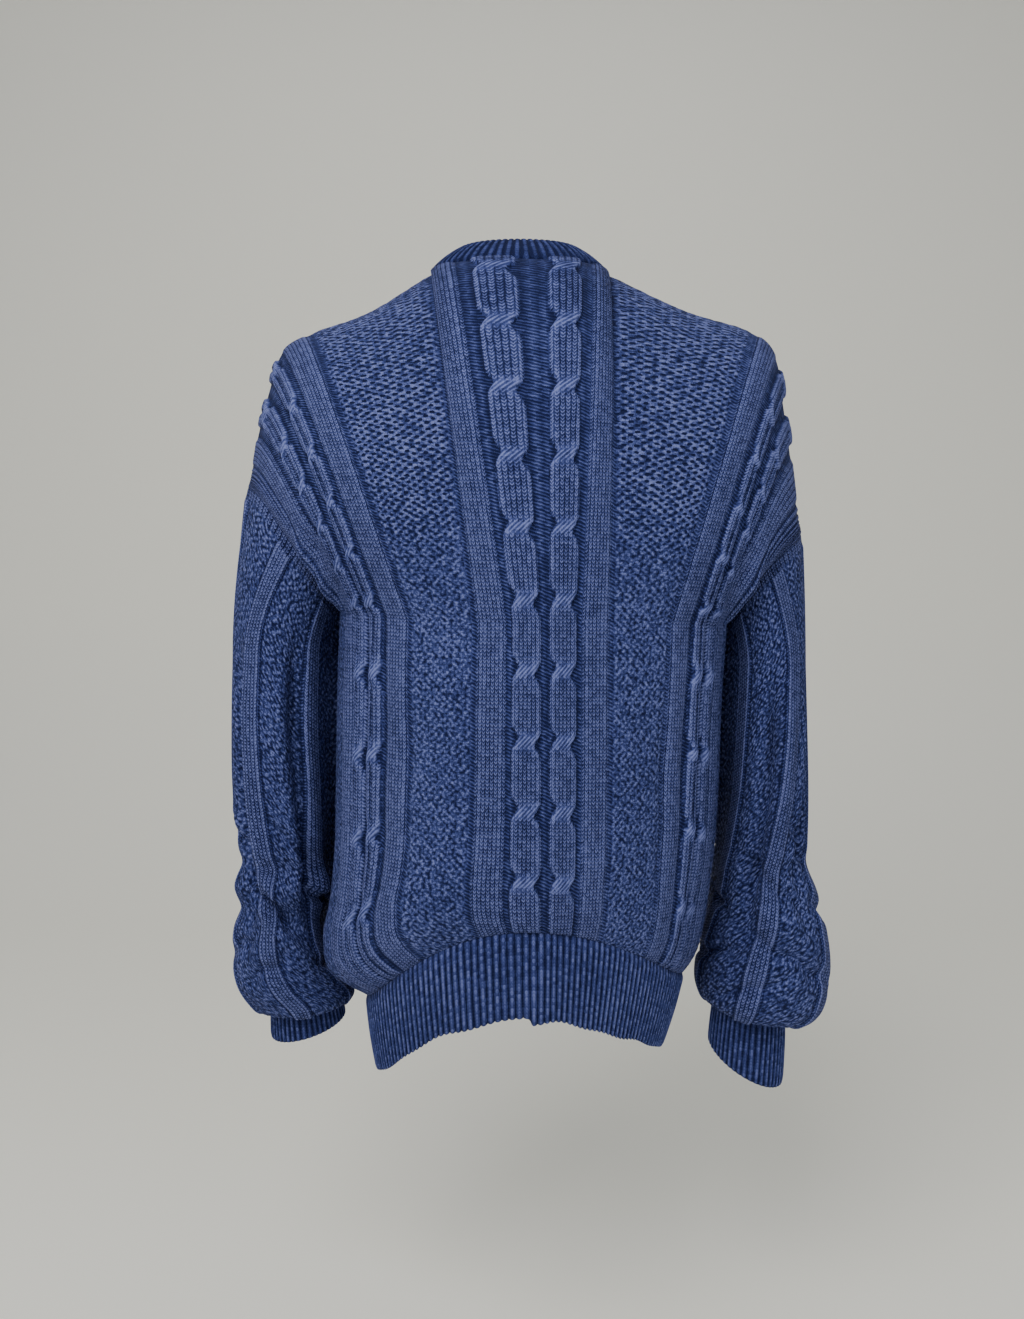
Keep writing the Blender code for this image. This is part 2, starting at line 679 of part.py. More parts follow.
def build_hem_rib(panel):
    """The ribbing under one panel, from side seam to side seam."""
    face = panel.face
    flat = panel.flat[0]
    top, normals = panel.grid[0], panel.normals[0]
    levels = RIB_BOTTOM_LEVEL
    size = HEM_BOTTOM
    low = oval(size["left"], size["right"], size[face], face, levels, MIDDLE_LINE_X["hem"], flat)
    places = (flat + FLAT_HALF_WIDTH) / (2 * FLAT_HALF_WIDTH)
    steps = HEM_RIBS_EACH_SIDE * 2
    at = np.linspace(0, 1, steps + 1)
    fine_top = np.stack([np.interp(at, places, top[:, k]) for k in range(3)], axis=1)
    fine_flat = at * 2 * FLAT_HALF_WIDTH - FLAT_HALF_WIDTH
    fine_low = oval(
        size["left"], size["right"], size[face], face, levels, MIDDLE_LINE_X["hem"], fine_flat
    )
    way = unit(
        np.stack([np.interp(at, places, normals[:, k]) for k in range(3)], axis=1) * (1, 1, 0)
    )
    wave = rib_wave(steps + 1)[:, None]
    wave[[0, -1]] = 0
    middle = 0.55
    keep = list(range(0, len(flat), 4))
    chain = [
        (low_edge, spots)
        for low_edge, spots in (
            (fine_low + way * wave, at),
            (fine_low + (fine_top - fine_low) * middle + way * wave, at),
            (fine_top + (fine_low - fine_top) * RIB_START + way * wave, at),
            (top, places),
            (top - normals * WALL, places),
            ((low + (top - low) * middle - normals * WALL)[keep], places[keep]),
            (fine_low - way * WALL, at),
        )
    ]
    drawn = []
    for k, (points, spots) in enumerate(chain):
        points = points.copy()
        for edge, near in ((0, 1), (-1, -2)):
            points[edge] += unit(points[near] - points[edge]) * (0, EASE_AT_EDGE, 0) / max(
                abs(unit(points[near] - points[edge])[1]), 0.5
            )
        if k in (3, 4):
            points += unit(low - top) * EASE_AT_EDGE
        drawn.append((points, spots))
    rises = (0, middle, 1 - RIB_START, 1)
    build_wall(f"hem_rib_{face}", drawn, False, RIB_COLOUR, rises, (0, middle, 1))


def neck_seam(back, front):
    """The neckline as one ring, from the left neck point round the back to the right and front."""
    around_back = back.neck
    around_front = front.neck[::-1][1:-1]
    points = np.vstack((back.grid[-1][around_back], front.grid[-1][around_front]))
    normals = np.vstack((back.normals[-1][around_back], front.normals[-1][around_front]))
    steps = np.linalg.norm(np.diff(np.vstack((points, points[:1])), axis=0), axis=1)
    places = np.concatenate(([0], np.cumsum(steps)))[:-1] / steps.sum()
    return seam_from(points, normals, places)


def neckband_end(points):
    """The neckband's free edge above each point of the neckline."""
    away = points - (NECK_CENTRE_X, 0, 0)
    angle = np.arctan2(away[:, 1] / NECK_DEPTH["back"], away[:, 0] / NECK_HALF_WIDTH)
    depth = np.where(away[:, 1] < 0, NECKBAND_TOP["back"], NECKBAND_TOP["front"])
    level = np.where(away[:, 1] < 0, NECKBAND_TOP_LEVEL["back"], NECKBAND_TOP_LEVEL["front"])
    side = NECKBAND_TOP_LEVEL["side"]
    return np.stack(
        [
            NECK_CENTRE_X + NECKBAND_TOP["half_width"] * np.cos(angle),
            depth * np.sin(angle),
            side + (level - side) * np.abs(np.sin(angle)) ** 1.5,
        ],
        axis=1,
    )


def cuff_end(side):
    """The open end of a cuff, as a function of the points of its seam."""
    size = CUFFS[side]
    sign = -1 if side == "left" else 1

    def end(points):
        low, high = points.min(axis=0), points.max(axis=0)
        away = (points - (low + high) / 2) / (high - low + 1e-9)
        angle = np.arctan2(away[:, 1], away[:, 0])
        level = (size["out_z"] + size["in_z"]) / 2
        tilt = sign * (size["out_z"] - size["in_z"]) / 2
        return np.stack(
            [
                size["x"] + size["half"] * np.cos(angle),
                size["y"] + size["thick"] * np.sin(angle),
                level + tilt * np.cos(angle) + size["dip"] * np.minimum(np.sin(angle), 0),
            ],
            axis=1,
        )

    return end


def main():
    for obj in list(bpy.data.objects):
        bpy.data.objects.remove(obj, do_unlink=True)
    levels = row_levels()
    back = Panel("back", levels)
    front = Panel("front", levels)
    for side in ("left", "right"):
        seam = build_sleeve(back, front, side)
        build_tube_rib(f"cuff_{side}", seam, cuff_end(side), CUFF_RIBS, RIB_COLOUR)
    for panel in (back, front):
        panel.build()
        build_hem_rib(panel)
    build_tube_rib("neckband", neck_seam(back, front), neckband_end, NECKBAND_RIBS, RIB_COLOUR)


main()
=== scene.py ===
import math

import bpy
import numpy as np
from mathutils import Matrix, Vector


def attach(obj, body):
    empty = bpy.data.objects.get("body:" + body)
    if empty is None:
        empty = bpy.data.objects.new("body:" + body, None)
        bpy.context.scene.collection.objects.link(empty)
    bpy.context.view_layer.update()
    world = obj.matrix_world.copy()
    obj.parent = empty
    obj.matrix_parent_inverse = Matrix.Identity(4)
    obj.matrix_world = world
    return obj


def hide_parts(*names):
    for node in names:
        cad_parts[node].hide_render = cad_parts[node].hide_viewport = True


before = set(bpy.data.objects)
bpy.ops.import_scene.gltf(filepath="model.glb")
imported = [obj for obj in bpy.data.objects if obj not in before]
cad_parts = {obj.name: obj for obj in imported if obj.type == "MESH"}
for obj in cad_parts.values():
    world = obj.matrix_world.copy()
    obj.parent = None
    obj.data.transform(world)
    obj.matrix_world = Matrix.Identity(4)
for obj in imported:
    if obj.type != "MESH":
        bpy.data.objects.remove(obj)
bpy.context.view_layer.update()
print("frame loaded")

# what every piece shares
cloth = {
    "wall": 0.0024,          # plain knitting between the raised patterns
    "seamEase": 0.00010,     # each edge is drawn back this far at a seam
    "wale": 0.0030,          # width of a stitch
    "course": 0.0029,        # height of a stitch
    "innerStep": 6,          # the plain inner skin keeps one line in this many
    "innerTone": 0.40,       # its lightness
    "edgeSwell": 0.0012,     # how far the ribbing of cuffs and hem stands out half way down
}
yarnShares = ("tone", "knit", "moss", "cross", "lace")    # what a mesh tells its material


# ---------- curves and grids
def glide(keys, values, at):
    # smooth curve through a table: cubic pieces, whose slope at a key is that of its neighbours
    keys, values = np.asarray(keys, float), np.asarray(values, float)
    if keys[0] > keys[-1]:
        keys, values = keys[::-1], values[::-1]
    slopes = np.gradient(values, keys)
    at = np.clip(np.asarray(at, float), keys[0], keys[-1])
    low = np.clip(np.searchsorted(keys, at, side="right") - 1, 0, len(keys) - 2)
    span = keys[low + 1] - keys[low]
    part = (at - keys[low]) / span
    rest = 1 - part
    return (values[low] * (1 + 2 * part) * rest**2 + slopes[low] * span * part * rest**2
            + values[low + 1] * part**2 * (3 - 2 * part)
            - slopes[low + 1] * span * part**2 * rest)


def columnOf(table, place, at):
    # the smooth curve through one column of a table, whose first column holds the keys
    return glide([row[0] for row in table], [row[place] for row in table], at)


def unit(vectors):
    # each vector over its own length
    return vectors / np.maximum(np.linalg.norm(vectors, axis=-1, keepdims=True), 1e-12)


def smooth(low, high, value):
    # 0 below low, 1 above high, and an S between: the share's square by three less twice the share
    share = np.clip((value - low) / (high - low), 0, 1)
    return share * share * (3 - 2 * share)


def lengths(points, axis=0):
    # length along a line of points, from 0 at its first one
    steps = np.linalg.norm(np.diff(points, axis=axis), axis=-1)
    start = np.zeros_like(np.take(steps, [0], axis=axis))
    return np.concatenate((start, np.cumsum(steps, axis=axis)), axis=axis)


def along(points, shares):
    # points at shares of a curve's own length
    length = lengths(points)
    wanted = np.asarray(shares) * length[-1]
    return np.stack([np.interp(wanted, length, points[:, k]) for k in range(3)], axis=1)


def softened(values, times, closed=False):
    # each value averaged with its four neighbours, a number of times
    before, after = (-1, 0) if closed else (0, -1)
    for _ in range(times):
        tall = np.concatenate((values[:1], values, values[-1:]), axis=0)
        wide = np.concatenate((values[:, [before]], values, values[:, [after]]), axis=1)
        values = (values + tall[:-2] + tall[2:] + wide[:, :-2] + wide[:, 2:]) / 5
    return values


def gridNormals(grid, closed=False, calm=8):
    # the cross product of the steps across and along the grid, evened out with its neighbours
    if closed:
        across = np.roll(grid, -1, axis=1) - np.roll(grid, 1, axis=1)
    else:
        across = np.gradient(grid, axis=1)
    return unit(softened(unit(np.cross(across, np.gradient(grid, axis=0))), calm, closed))


def ringAt(places, values, at):
    # values of a closed ring at other places round it
    turns = np.concatenate((places - 1, places, places + 1))
    triple = np.concatenate((values, values, values))
    at = np.asarray(at) % 1
    return np.stack([np.interp(at, turns, triple[:, k]) for k in range(3)], axis=-1)


def bell(value):
    # 1 in the middle, and about a third at 1 to either side
    return np.exp(-(value**2))


foldShape = {
    "wander": 0.12, "bends": 9,        # how far a fold's line sways, of its width, and how often
    "swell": 0.25, "swells": 13,       # how much its height varies along it, and how often
    "fadeIn": 0.35, "fadeOut": 0.6,    # shares of its length
    "creaseWander": 0.006, "creaseBends": 60,    # sway of a short crease, of the sleeve's length
}


def foldsOver(folds, places, levels, turn=None):
    # soft ridges and troughs: a bell across the fold, whose height swells and fades along it
    total = np.zeros((len(levels), len(places)))
    level = levels[:, None]
    for place, first, last, width, height, lean in folds:
        share = (level - first) / (last - first)
        sway = foldShape["wander"] * width * np.sin(foldShape["bends"] * share + 40 * place)
        middle = place + lean * share + sway
        fade = smooth(0, foldShape["fadeIn"], share)
        fade = fade * (1 - smooth(foldShape["fadeOut"], 1, share))
        swell = 1 + foldShape["swell"] * np.sin(foldShape["swells"] * share + 5 * place)
        away = places[None, :] - middle
        if turn:
            away = (away + turn / 2) % turn - turn / 2
        total += height * fade * swell * bell(away / width)
    return total


def wrinklesOver(wrinkles, places, shares):
    # short creases across a tube: a bell along its length, that runs aslant and fades sideways
    total = np.zeros(np.broadcast(places[None, :], shares).shape)
    for place, share, reach, width, height, slope in wrinkles:
        away = (places[None, :] - place + 0.5) % 1 - 0.5
        sway = foldShape["creaseWander"] * np.sin(foldShape["creaseBends"] * away + 20 * share)
        middle = share + slope * away + sway
        total += height * np.exp(-(((shares - middle) / width) ** 2) - (away / reach) ** 4)
    return total


toneShape = {
    "near": 4, "nearReach": 0.00063, "nearShare": 0.30,    # rounds of evening out, height, share
    "wide": 22, "wideReach": 0.0014, "wideShare": 0.28,
}


def paintedReliefShade(relief, closed=False):
    # painted shade and light: darker in the relief's grooves and lighter where the knitting stands
    # above what is around it.
    # It is the height over the evened-out relief near by and over that of a wider place, each over
    # a usual height
    near = (relief - softened(relief, toneShape["near"], closed)) / toneShape["nearReach"]
    wide = (relief - softened(relief, toneShape["wide"], closed)) / toneShape["wideReach"]
    return np.clip(0.5 + toneShape["nearShare"] * near + toneShape["wideShare"] * wide, 0, 1)


# ---------- meshes
def edgeStrip(fine, coarse):
    # triangles between a fine edge and a coarse one that shares every step-th place of it
    step, cells = cloth["innerStep"], len(coarse) - 1
    parts = [np.stack([coarse[:-1], fine[step // 2::step][:cells], coarse[1:]], axis=1)]
    for k in range(step):
        near = coarse[:-1] if k < step / 2 else coarse[1:]
        parts.append(np.stack([fine[k:-1:step][:cells], fine[k + 1::step][:cells], near], axis=1))
    return np.concatenate(parts)


def gridCells(rows, columns, first, closed):
    # vertex numbers of a grid, and its four-sided cells, which face the way of across x along
    index = first + np.arange(rows * columns).reshape(rows, columns)
    if closed:
        index = np.concatenate((index, index[:, :1]), axis=1)
    cells = np.stack([index[:-1, :-1], index[:-1, 1:], index[1:, 1:], index[1:, :-1]], axis=-1)
    return index, cells.reshape(-1, 4)


def wrapped(corners, wales):
    # the stitch counts at the corners of each face, carried on past the last wale of a tube
    if wales:
        u = corners[..., 0]
        over = (u.max(axis=1) - u.min(axis=1)) > wales / 2
        corners[..., 0] = np.where(over[:, None] & (u < wales / 2), u + wales, u)
    return corners.reshape(-1, 2)


def drawnBack(skin, base, closed=False):
    # a skin whose edges are drawn back from the seams, along the first step inwards
    skin = skin.copy()
    for edge, near in ((0, 1), (-1, -2)):
        skin[edge] += unit(base[near] - base[edge]) * cloth["seamEase"]
        if not closed:
            skin[:, edge] += unit(base[:, near] - base[:, edge]) * cloth["seamEase"]
    return skin


def buildWall(name, base, normals, height, crease, maps, material, flip=False, wales=0):
    # one closed shell: outside at height over the base, a plain skin a wall's thickness inside it,
    # and their edges joined. maps has the stitch counts u and v, and the numbers that the material
    # reads. Only a tube has wales.
    closed = wales > 0
    outer, inner = (drawnBack(base + normals * np.asarray(away)[..., None], base, closed)
                    for away in (height, crease - cloth["wall"]))
    if flip:
        outer, inner = outer[:, ::-1], inner[:, ::-1]
        maps = {key: value[:, ::-1] for key, value in maps.items()}
    step = cloth["innerStep"]
    inner = inner[::step, ::step]
    outIndex, outCells = gridCells(*outer.shape[:2], 0, closed)
    inIndex, inCells = gridCells(*inner.shape[:2], outer[..., 0].size, closed)
    strips = [edgeStrip(outIndex[0], inIndex[0])[:, ::-1], edgeStrip(outIndex[-1], inIndex[-1])]
    if not closed:
        strips.append(edgeStrip(outIndex[:, 0], inIndex[:, 0]))
        strips.append(edgeStrip(outIndex[:, -1], inIndex[:, -1])[:, ::-1])
    triangles = np.concatenate(strips)
    fours = np.concatenate((outCells, inCells[:, ::-1]))
    loops = np.concatenate((fours.ravel(), triangles.ravel())).astype(np.int32)
    sizes = np.concatenate((np.full(len(fours), 4), np.full(len(triangles), 3)))
    points = np.concatenate((outer.reshape(-1, 3), inner.reshape(-1, 3)))
    mesh = bpy.data.meshes.new(name)
    mesh.vertices.add(len(points))
    mesh.vertices.foreach_set("co", points.astype(np.float32).ravel())
    mesh.loops.add(len(loops))
    mesh.loops.foreach_set("vertex_index", loops)
    mesh.polygons.add(len(sizes))
    starts = np.concatenate(([0], np.cumsum(sizes)[:-1]))
    mesh.polygons.foreach_set("loop_start", starts.astype(np.int32))
    mesh.update(calc_edges=True)

    stitches = np.stack([maps["u"], maps["v"]], axis=-1)
    stitches = np.concatenate((stitches.reshape(-1, 2), stitches[::step, ::step].reshape(-1, 2)))
    corners = [wrapped(stitches[faces], wales) for faces in (fours, triangles)]
    layer = mesh.uv_layers.new(name="stitches")
    layer.data.foreach_set("uv", np.concatenate(corners).astype(np.float32).ravel())
    for label in yarnShares:
        inside = cloth["innerTone"] if label == "tone" else 0.0
        values = np.concatenate((maps[label].ravel(), np.full(inner[..., 0].size, inside)))
        attribute = mesh.attributes.new(label, "FLOAT", "POINT")
        attribute.data.foreach_set("value", values.astype(np.float32))
    mesh.shade_smooth()
    mesh.materials.append(material)
    piece = bpy.data.objects.new(name, mesh)
    bpy.context.scene.collection.objects.link(piece)
    print(name, len(fours) * 2 + len(triangles), "triangles")
    return piece


# ---------- yarn
class Sum:
    # wraps a socket, so that an expression on it adds Math nodes
    def __init__(self, tree, socket):
        self.tree, self.socket = tree, socket

    def math(self, operation, *others):
        node = self.tree.nodes.new("ShaderNodeMath")
        node.operation = operation
        for place, item in enumerate((self, *others)):
            feed(self.tree, node.inputs[place], item)
        return Sum(self.tree, node.outputs[0])

    def __add__(self, other):
        return self.math("ADD", other)

    def __mul__(self, other):
        return self.math("MULTIPLY", other)

    def __sub__(self, other):
        return self.math("SUBTRACT", other)

    def __rsub__(self, other):
        return (self * -1).math("ADD", other)

    def __pow__(self, other):
        return self.math("POWER", other)

    __radd__ = __add__
    __rmul__ = __mul__


def feed(tree, socket, item):
    # links a socket or sets its value
    if isinstance(item, Sum):
        tree.links.new(item.socket, socket)
    elif hasattr(item, "is_output"):
        tree.links.new(item, socket)
    else:
        socket.default_value = item


def addNode(tree, kind, settings, inputs):
    # a node from its type, its settings, and the values or links of its sockets
    node = tree.nodes.new(kind)
    for key, value in settings.items():
        setattr(node, key, value)
    for key, item in inputs.items():
        feed(tree, node.inputs[key], item)
    return node


def wave(value):
    # from 1 to 0 and back, once in every unit
    return (value * (2 * math.pi)).math("COSINE") * 0.5 + 0.5


yarn = {
    "wobbleScale": 260.0, "fluffScale": 900.0, "cloudScale": 14.0,    # noise, per metre
    "sheenRoughness": 0.5,
    "vSlope": 1.5,                                 # how steeply a plain stitch's two legs lean
    "strandWales": 0.94, "strandCourses": 0.76,    # how the strands at a crossing lean
    "knobScatter": 0.8, "middleHeight": 0.42,
    "holeEdge": 3.5, "holeDepth": 0.9, "holeShade": 0.8, "netLight": 0.10,    # the yoke's eyelets
    "fuzzLight": 0.3, "driftLight": 0.3, "fuzzDepth": 0.4, "mossFuzz": 0.8,
}


def yarnMaterial(name, look):
    # matte cotton, with painted shade in the grooves of the relief and between the stitches, and
    # painted light on their tops
    material = bpy.data.materials.new(name)
    material.use_nodes = True
    tree = material.node_tree
    shader = tree.nodes["Principled BSDF"]
    shader.inputs["Metallic"].default_value = 0.0
    shader.inputs["Roughness"].default_value = look["roughness"]
    shader.inputs["Specular IOR Level"].default_value = look["specular"]
    shader.inputs["Sheen Weight"].default_value = look["sheen"]
    shader.inputs["Sheen Roughness"].default_value = yarn["sheenRoughness"]
    shader.inputs["Sheen Tint"].default_value = look["sheenTint"]
    tone, knit, moss, cross, lace = (
        Sum(tree, addNode(tree, "ShaderNodeAttribute", {"attribute_name": key}, {}).outputs["Fac"])
        for key in yarnShares)
    stitches = addNode(tree, "ShaderNodeUVMap", {"uv_map": "stitches"}, {}).outputs["UV"]
    parts = addNode(tree, "ShaderNodeSeparateXYZ", {}, {"Vector": stitches})
    where = addNode(tree, "ShaderNodeTexCoord", {}, {}).outputs["Object"]
    sway, fuzz, drift = (
        Sum(tree, addNode(tree, "ShaderNodeTexNoise", {}, {
            "Vector": where, "Scale": yarn[scale], "Detail": detail}).outputs["Fac"]) - 0.5
        for scale, detail in (("wobbleScale", 1.0), ("fluffScale", 2.0), ("cloudScale", 3.0)))
    eachStitch = addNode(tree, "ShaderNodeVectorMath", {"operation": "FLOOR"}, {0: stitches})
    speckle = addNode(tree, "ShaderNodeTexWhiteNoise", {"noise_dimensions": "2D"},
                      {"Vector": eachStitch.outputs["Vector"]})
    odd = Sum(tree, speckle.outputs["Value"]) - 0.5
    wales = Sum(tree, parts.outputs["X"]) + sway * look["sway"]
    courses = Sum(tree, parts.outputs["Y"]) + sway * look["sway"]

    # plain: two legs that lean to the wale's middle, with a split between them
    lean = (wales.math("FRACT") - 0.5).math("ABSOLUTE")
    side = 1 - (lean * 2) ** 3
    row = wave(courses - lean * yarn["vSlope"])
    split = 1 - (lean * 7).math("MINIMUM", 1.0)
    knitHeight = side * (row * 0.66 + 0.34) - split * 0.20
    purlHeight = wave(courses + wales * 0.5) * 0.5 + wave(wales * 0.5) * 0.2
    # moss: scattered knobs over a loose check
    loose = (wales + sway * look["mossSway"]) * math.pi
    everyCourse = (courses * math.pi).math("COSINE")
    knobs = addNode(tree, "ShaderNodeTexVoronoi", {"voronoi_dimensions": "2D"}, {
        "Vector": stitches, "Scale": look["knobs"], "Randomness": yarn["knobScatter"]})
    mossHeight = ((yarn["middleHeight"] - Sum(tree, knobs.outputs["Distance"])) * look["knobShare"]
                  + loose.math("COSINE") * everyCourse * 0.20 + 0.44 + fuzz * yarn["mossFuzz"])
    strands = wave(wales * yarn["strandWales"] - courses * yarn["strandCourses"])
    crossHeight = strands * 0.54 + 0.30
    plain = knitHeight * knit + purlHeight * (1 - knit)
    plain = plain * (1 - cross) + crossHeight * cross
    height = plain * (1 - moss) + mossHeight * moss
    # the yoke's net: an eyelet at every other crossing of wale and course
    net = (wales * math.pi).math("COSINE") * everyCourse
    eyelet = ((net * -1 - 0.30) * yarn["holeEdge"]).math("MAXIMUM", 0.0).math("MINIMUM", 1.0)
    hole = eyelet * lace
    height = height - hole * yarn["holeDepth"]

    # painted shade and light: tone darkens the relief's grooves and lightens what stands above
    # them, the stitches' height darkens the hollows between them and lightens their tops, and the
    # eyelets get painted shade; fuzz, drift and odd stitches are the yarn's own unevenness
    light = ((tone - 0.5) * look["toneShare"]
             + (height - yarn["middleHeight"]) * look["stitchShare"]
             + fuzz * yarn["fuzzLight"] + drift * yarn["driftLight"] + odd * look["speckle"]
             + lace * yarn["netLight"] - hole * yarn["holeShade"] + look["level"])
    ramp = addNode(tree, "ShaderNodeValToRGB", {}, {"Fac": light})
    stops = ramp.color_ramp.elements
    stops[0].color, stops[1].color = look["deep"], look["bright"]
    stops.new(0.5).color = look["mid"]
    feed(tree, shader.inputs["Base Color"], ramp.outputs["Color"])
    bump = addNode(tree, "ShaderNodeBump", {}, {
        "Height": height + fuzz * yarn["fuzzDepth"], "Strength": look["bump"],
        "Distance": look["stitchDepth"]})
    feed(tree, shader.inputs["Normal"], bump.outputs["Normal"])
    return material


patternedLook = {
    "roughness": 0.90, "specular": 0.15, "sheen": 0.04, "sheenTint": (0.40, 0.50, 0.95, 1.0),
    "sway": 0.40, "mossSway": 0.7,           # how unevenly the stitches run
    "knobs": 1.0, "knobShare": 0.78,         # moss knobs a stitch, and how strong they are
    "toneShare": 0.62, "stitchShare": 1.15,  # how far the painted shade and light of the relief and of the stitches set the colour
    "speckle": 0.34, "level": 0.40,          # odd stitches, and how light the whole is
    "bump": 1.0, "stitchDepth": 0.0014,
    "deep": (0.0045, 0.0085, 0.048, 1), "mid": (0.039, 0.055, 0.195, 1),
    "bright": (0.175, 0.210, 0.490, 1),
}
sleeveLook = dict(patternedLook, mossSway=1.0, knobs=0.88, knobShare=0.92, toneShare=0.85,
                  stitchShare=1.25, level=0.36)
# painted shade: the ribbing's lower level darkens all its rings, for the less light that reaches
# them and for their deep valleys
ribLook = dict(patternedLook, level=0.22, toneShare=1.15, stitchShare=0.26, bump=0.5)
patternedKnit = yarnMaterial("patterned knit", patternedLook)
sleeveKnit = yarnMaterial("patterned knit, looser", sleeveLook)
ribKnit = yarnMaterial("rib knit", ribLook)
print("materials made")

# ---------- the body: back and front
body = {
    "underarm": {"back": -0.310, "front": -0.318, "left": -0.300, "right": -0.312},
    "ribTop": {"back": -0.556, "front": -0.602, "left": -0.646, "right": -0.625},
    "ovalPower": 2.15,
    "sections": (
        # rise, left, right, back, front
        (0.00, -0.1480, 0.1380, 0.130, 0.130),
        (0.05, -0.1755, 0.1480, 0.136, 0.138),
        (0.15, -0.1870, 0.1570, 0.141, 0.146),
        (0.24, -0.1815, 0.1610, 0.143, 0.148),
        (0.37, -0.1770, 0.1660, 0.144, 0.149),
        (0.54, -0.1755, 0.1695, 0.145, 0.149),
        (0.76, -0.1745, 0.1720, 0.145, 0.148),
        (1.00, -0.1720, 0.1770, 0.143, 0.144),
    ),
    "middleX": {"hem": 0.0095, "neck": 0.0010},
    "neckCentreX": -0.0106, "neckHalfWidth": 0.080, "neckSideLevel": 0.008, "neckPoint": 0.0545,
    "neckDepth": {"back": 0.080, "front": 0.086},
    "neckDrop": {"back": 0.012, "front": 0.078},
    "shoulderSeam": {
        # flat distance, x, z
        "left": (
            (0.0545, -0.0906, 0.008), (0.0800, -0.1490, -0.028), (0.1050, -0.2010, -0.047),
            (0.1295, -0.2285, -0.064), (0.1515, -0.2400, -0.098), (0.1715, -0.2500, -0.138),
            (0.1900, -0.2545, -0.164), (0.2500, -0.2595, -0.186),
        ),
        "right": (
            (0.0545, 0.0694, 0.008), (0.0800, 0.1410, -0.026), (0.1050, 0.2030, -0.046),
            (0.1295, 0.2260, -0.070), (0.1515, 0.2330, -0.113), (0.1715, 0.2390, -0.155),
            (0.1900, 0.2440, -0.196), (0.2500, 0.2490, -0.228),
        ),
    },
    "armhole": {
        # climb, x, reach, z
        "left": (
            (0.00, -0.1720, 0.000, -0.300), (0.30, -0.1840, 0.044, -0.276),
            (0.60, -0.2080, 0.058, -0.240), (0.85, -0.2400, 0.038, -0.199),
            (1.00, -0.2595, 0.000, -0.186),
        ),
        "right": (
            (0.00, 0.1770, 0.000, -0.312), (0.30, 0.1870, 0.042, -0.288),
            (0.60, 0.2090, 0.056, -0.259), (0.85, 0.2360, 0.037, -0.238),
            (1.00, 0.2490, 0.000, -0.228),
        ),
    },
    "armholePull": 2.6,
    "turn": {"back": 85.0, "front": 70.0, "shoulder": 88.0},
    "roundsOver": 0.05,
    "shoulderBlade": 0.010,
    "halfWidth": 0.250,                    # flat, from the middle line to the side seam
    "lowerRows": 19, "upperRows": 24,      # the solid's rows, which the cables are counted in
    "finePerRow": 6,
}
outwardOf = {"back": -1, "front": 1}
folds = {
    # flat distance (minus is left), first and last level, width, height, drift along it
    "back": (
        (-0.206, 1.00, 1.55, 0.0110, 0.0060, 0.012),
        (-0.186, 0.98, 1.45, 0.0120, -0.0050, 0.010),
        (0.204, 1.00, 1.50, 0.0110, 0.0055, -0.012),
        (0.182, 0.96, 1.40, 0.0120, -0.0045, -0.010),
        (-0.120, 0.15, 0.95, 0.0260, -0.0030, 0.020),
        (0.112, 0.10, 0.90, 0.0280, -0.0030, -0.016),
        (0.040, 0.02, 0.40, 0.0220, 0.0016, 0.004),
        (-0.045, 0.02, 0.35, 0.0200, 0.0014, -0.004),
        (-0.160, 0.00, 0.30, 0.0180, -0.0030, 0.006),
        (0.165, 0.00, 0.32, 0.0180, -0.0030, -0.006),
        (-0.1310, 0.04, 1.10, 0.0065, -0.0030, 0.000),
        (-0.1515, 0.02, 1.20, 0.0065, -0.0036, 0.000),
        (-0.1720, 0.04, 1.15, 0.0075, -0.0038, 0.000),
        (-0.1070, 0.10, 0.80, 0.0070, -0.0020, 0.000),
        (0.1310, 0.06, 1.05, 0.0065, -0.0028, 0.000),
        (0.1515, 0.04, 1.15, 0.0065, -0.0036, 0.000),
        (0.1720, 0.04, 1.10, 0.0075, -0.0038, 0.000),
        (0.1070, 0.15, 0.85, 0.0070, -0.0020, 0.000),
    ),
    "front": (
        (-0.205, 1.00, 1.60, 0.0120, 0.0060, 0.012),
        (-0.182, 0.95, 1.50, 0.0130, -0.0050, 0.010),
        (0.204, 1.02, 1.58, 0.0120, 0.0055, -0.012),
        (0.180, 0.97, 1.42, 0.0130, -0.0045, -0.010),
        (-0.095, 0.05, 0.85, 0.0280, -0.0024, 0.014),
        (0.118, 0.08, 0.70, 0.0260, -0.0022, -0.012),
        (-0.150, 0.00, 0.30, 0.0180, -0.0030, 0.006),
        (0.155, 0.00, 0.30, 0.0180, -0.0030, -0.006),
        (0.010, 0.02, 0.36, 0.0240, 0.0016, 0.004),
    ),
}


def ovalRow(left, right, depth, face, levels, flat):
    # half an oval from side seam to side seam: x as the sine and y as the cosine of an angle, both
    # to the power 2/ovalPower, and a level that goes from the sides to the middle as cos squared
    angle = np.linspace(-math.pi / 2, math.pi / 2, 1601)
    bend = 2 / body["ovalPower"]
    sine, cosine = np.sin(angle), np.maximum(np.cos(angle), 0)
    x = (left + right) / 2 + (right - left) / 2 * np.sign(sine) * np.abs(sine) ** bend
    y = outwardOf[face] * depth * cosine**bend
    side = np.where(angle < 0, levels["left"], levels["right"])
    curve = np.stack([x, y, side + (levels[face] - side) * cosine**2], axis=1)
    line = body["middleX"]["hem"]
    middle = np.array([np.interp(line, x, curve[:, k]) for k in range(3)])
    share = np.abs(flat) / body["halfWidth"]
    leftHalf = along(np.vstack([middle, curve[x < line][::-1]]), share)
    rightHalf = along(np.vstack([middle, curve[x > line]]), share)
    return np.where((flat < 0)[:, None], leftHalf, rightHalf)


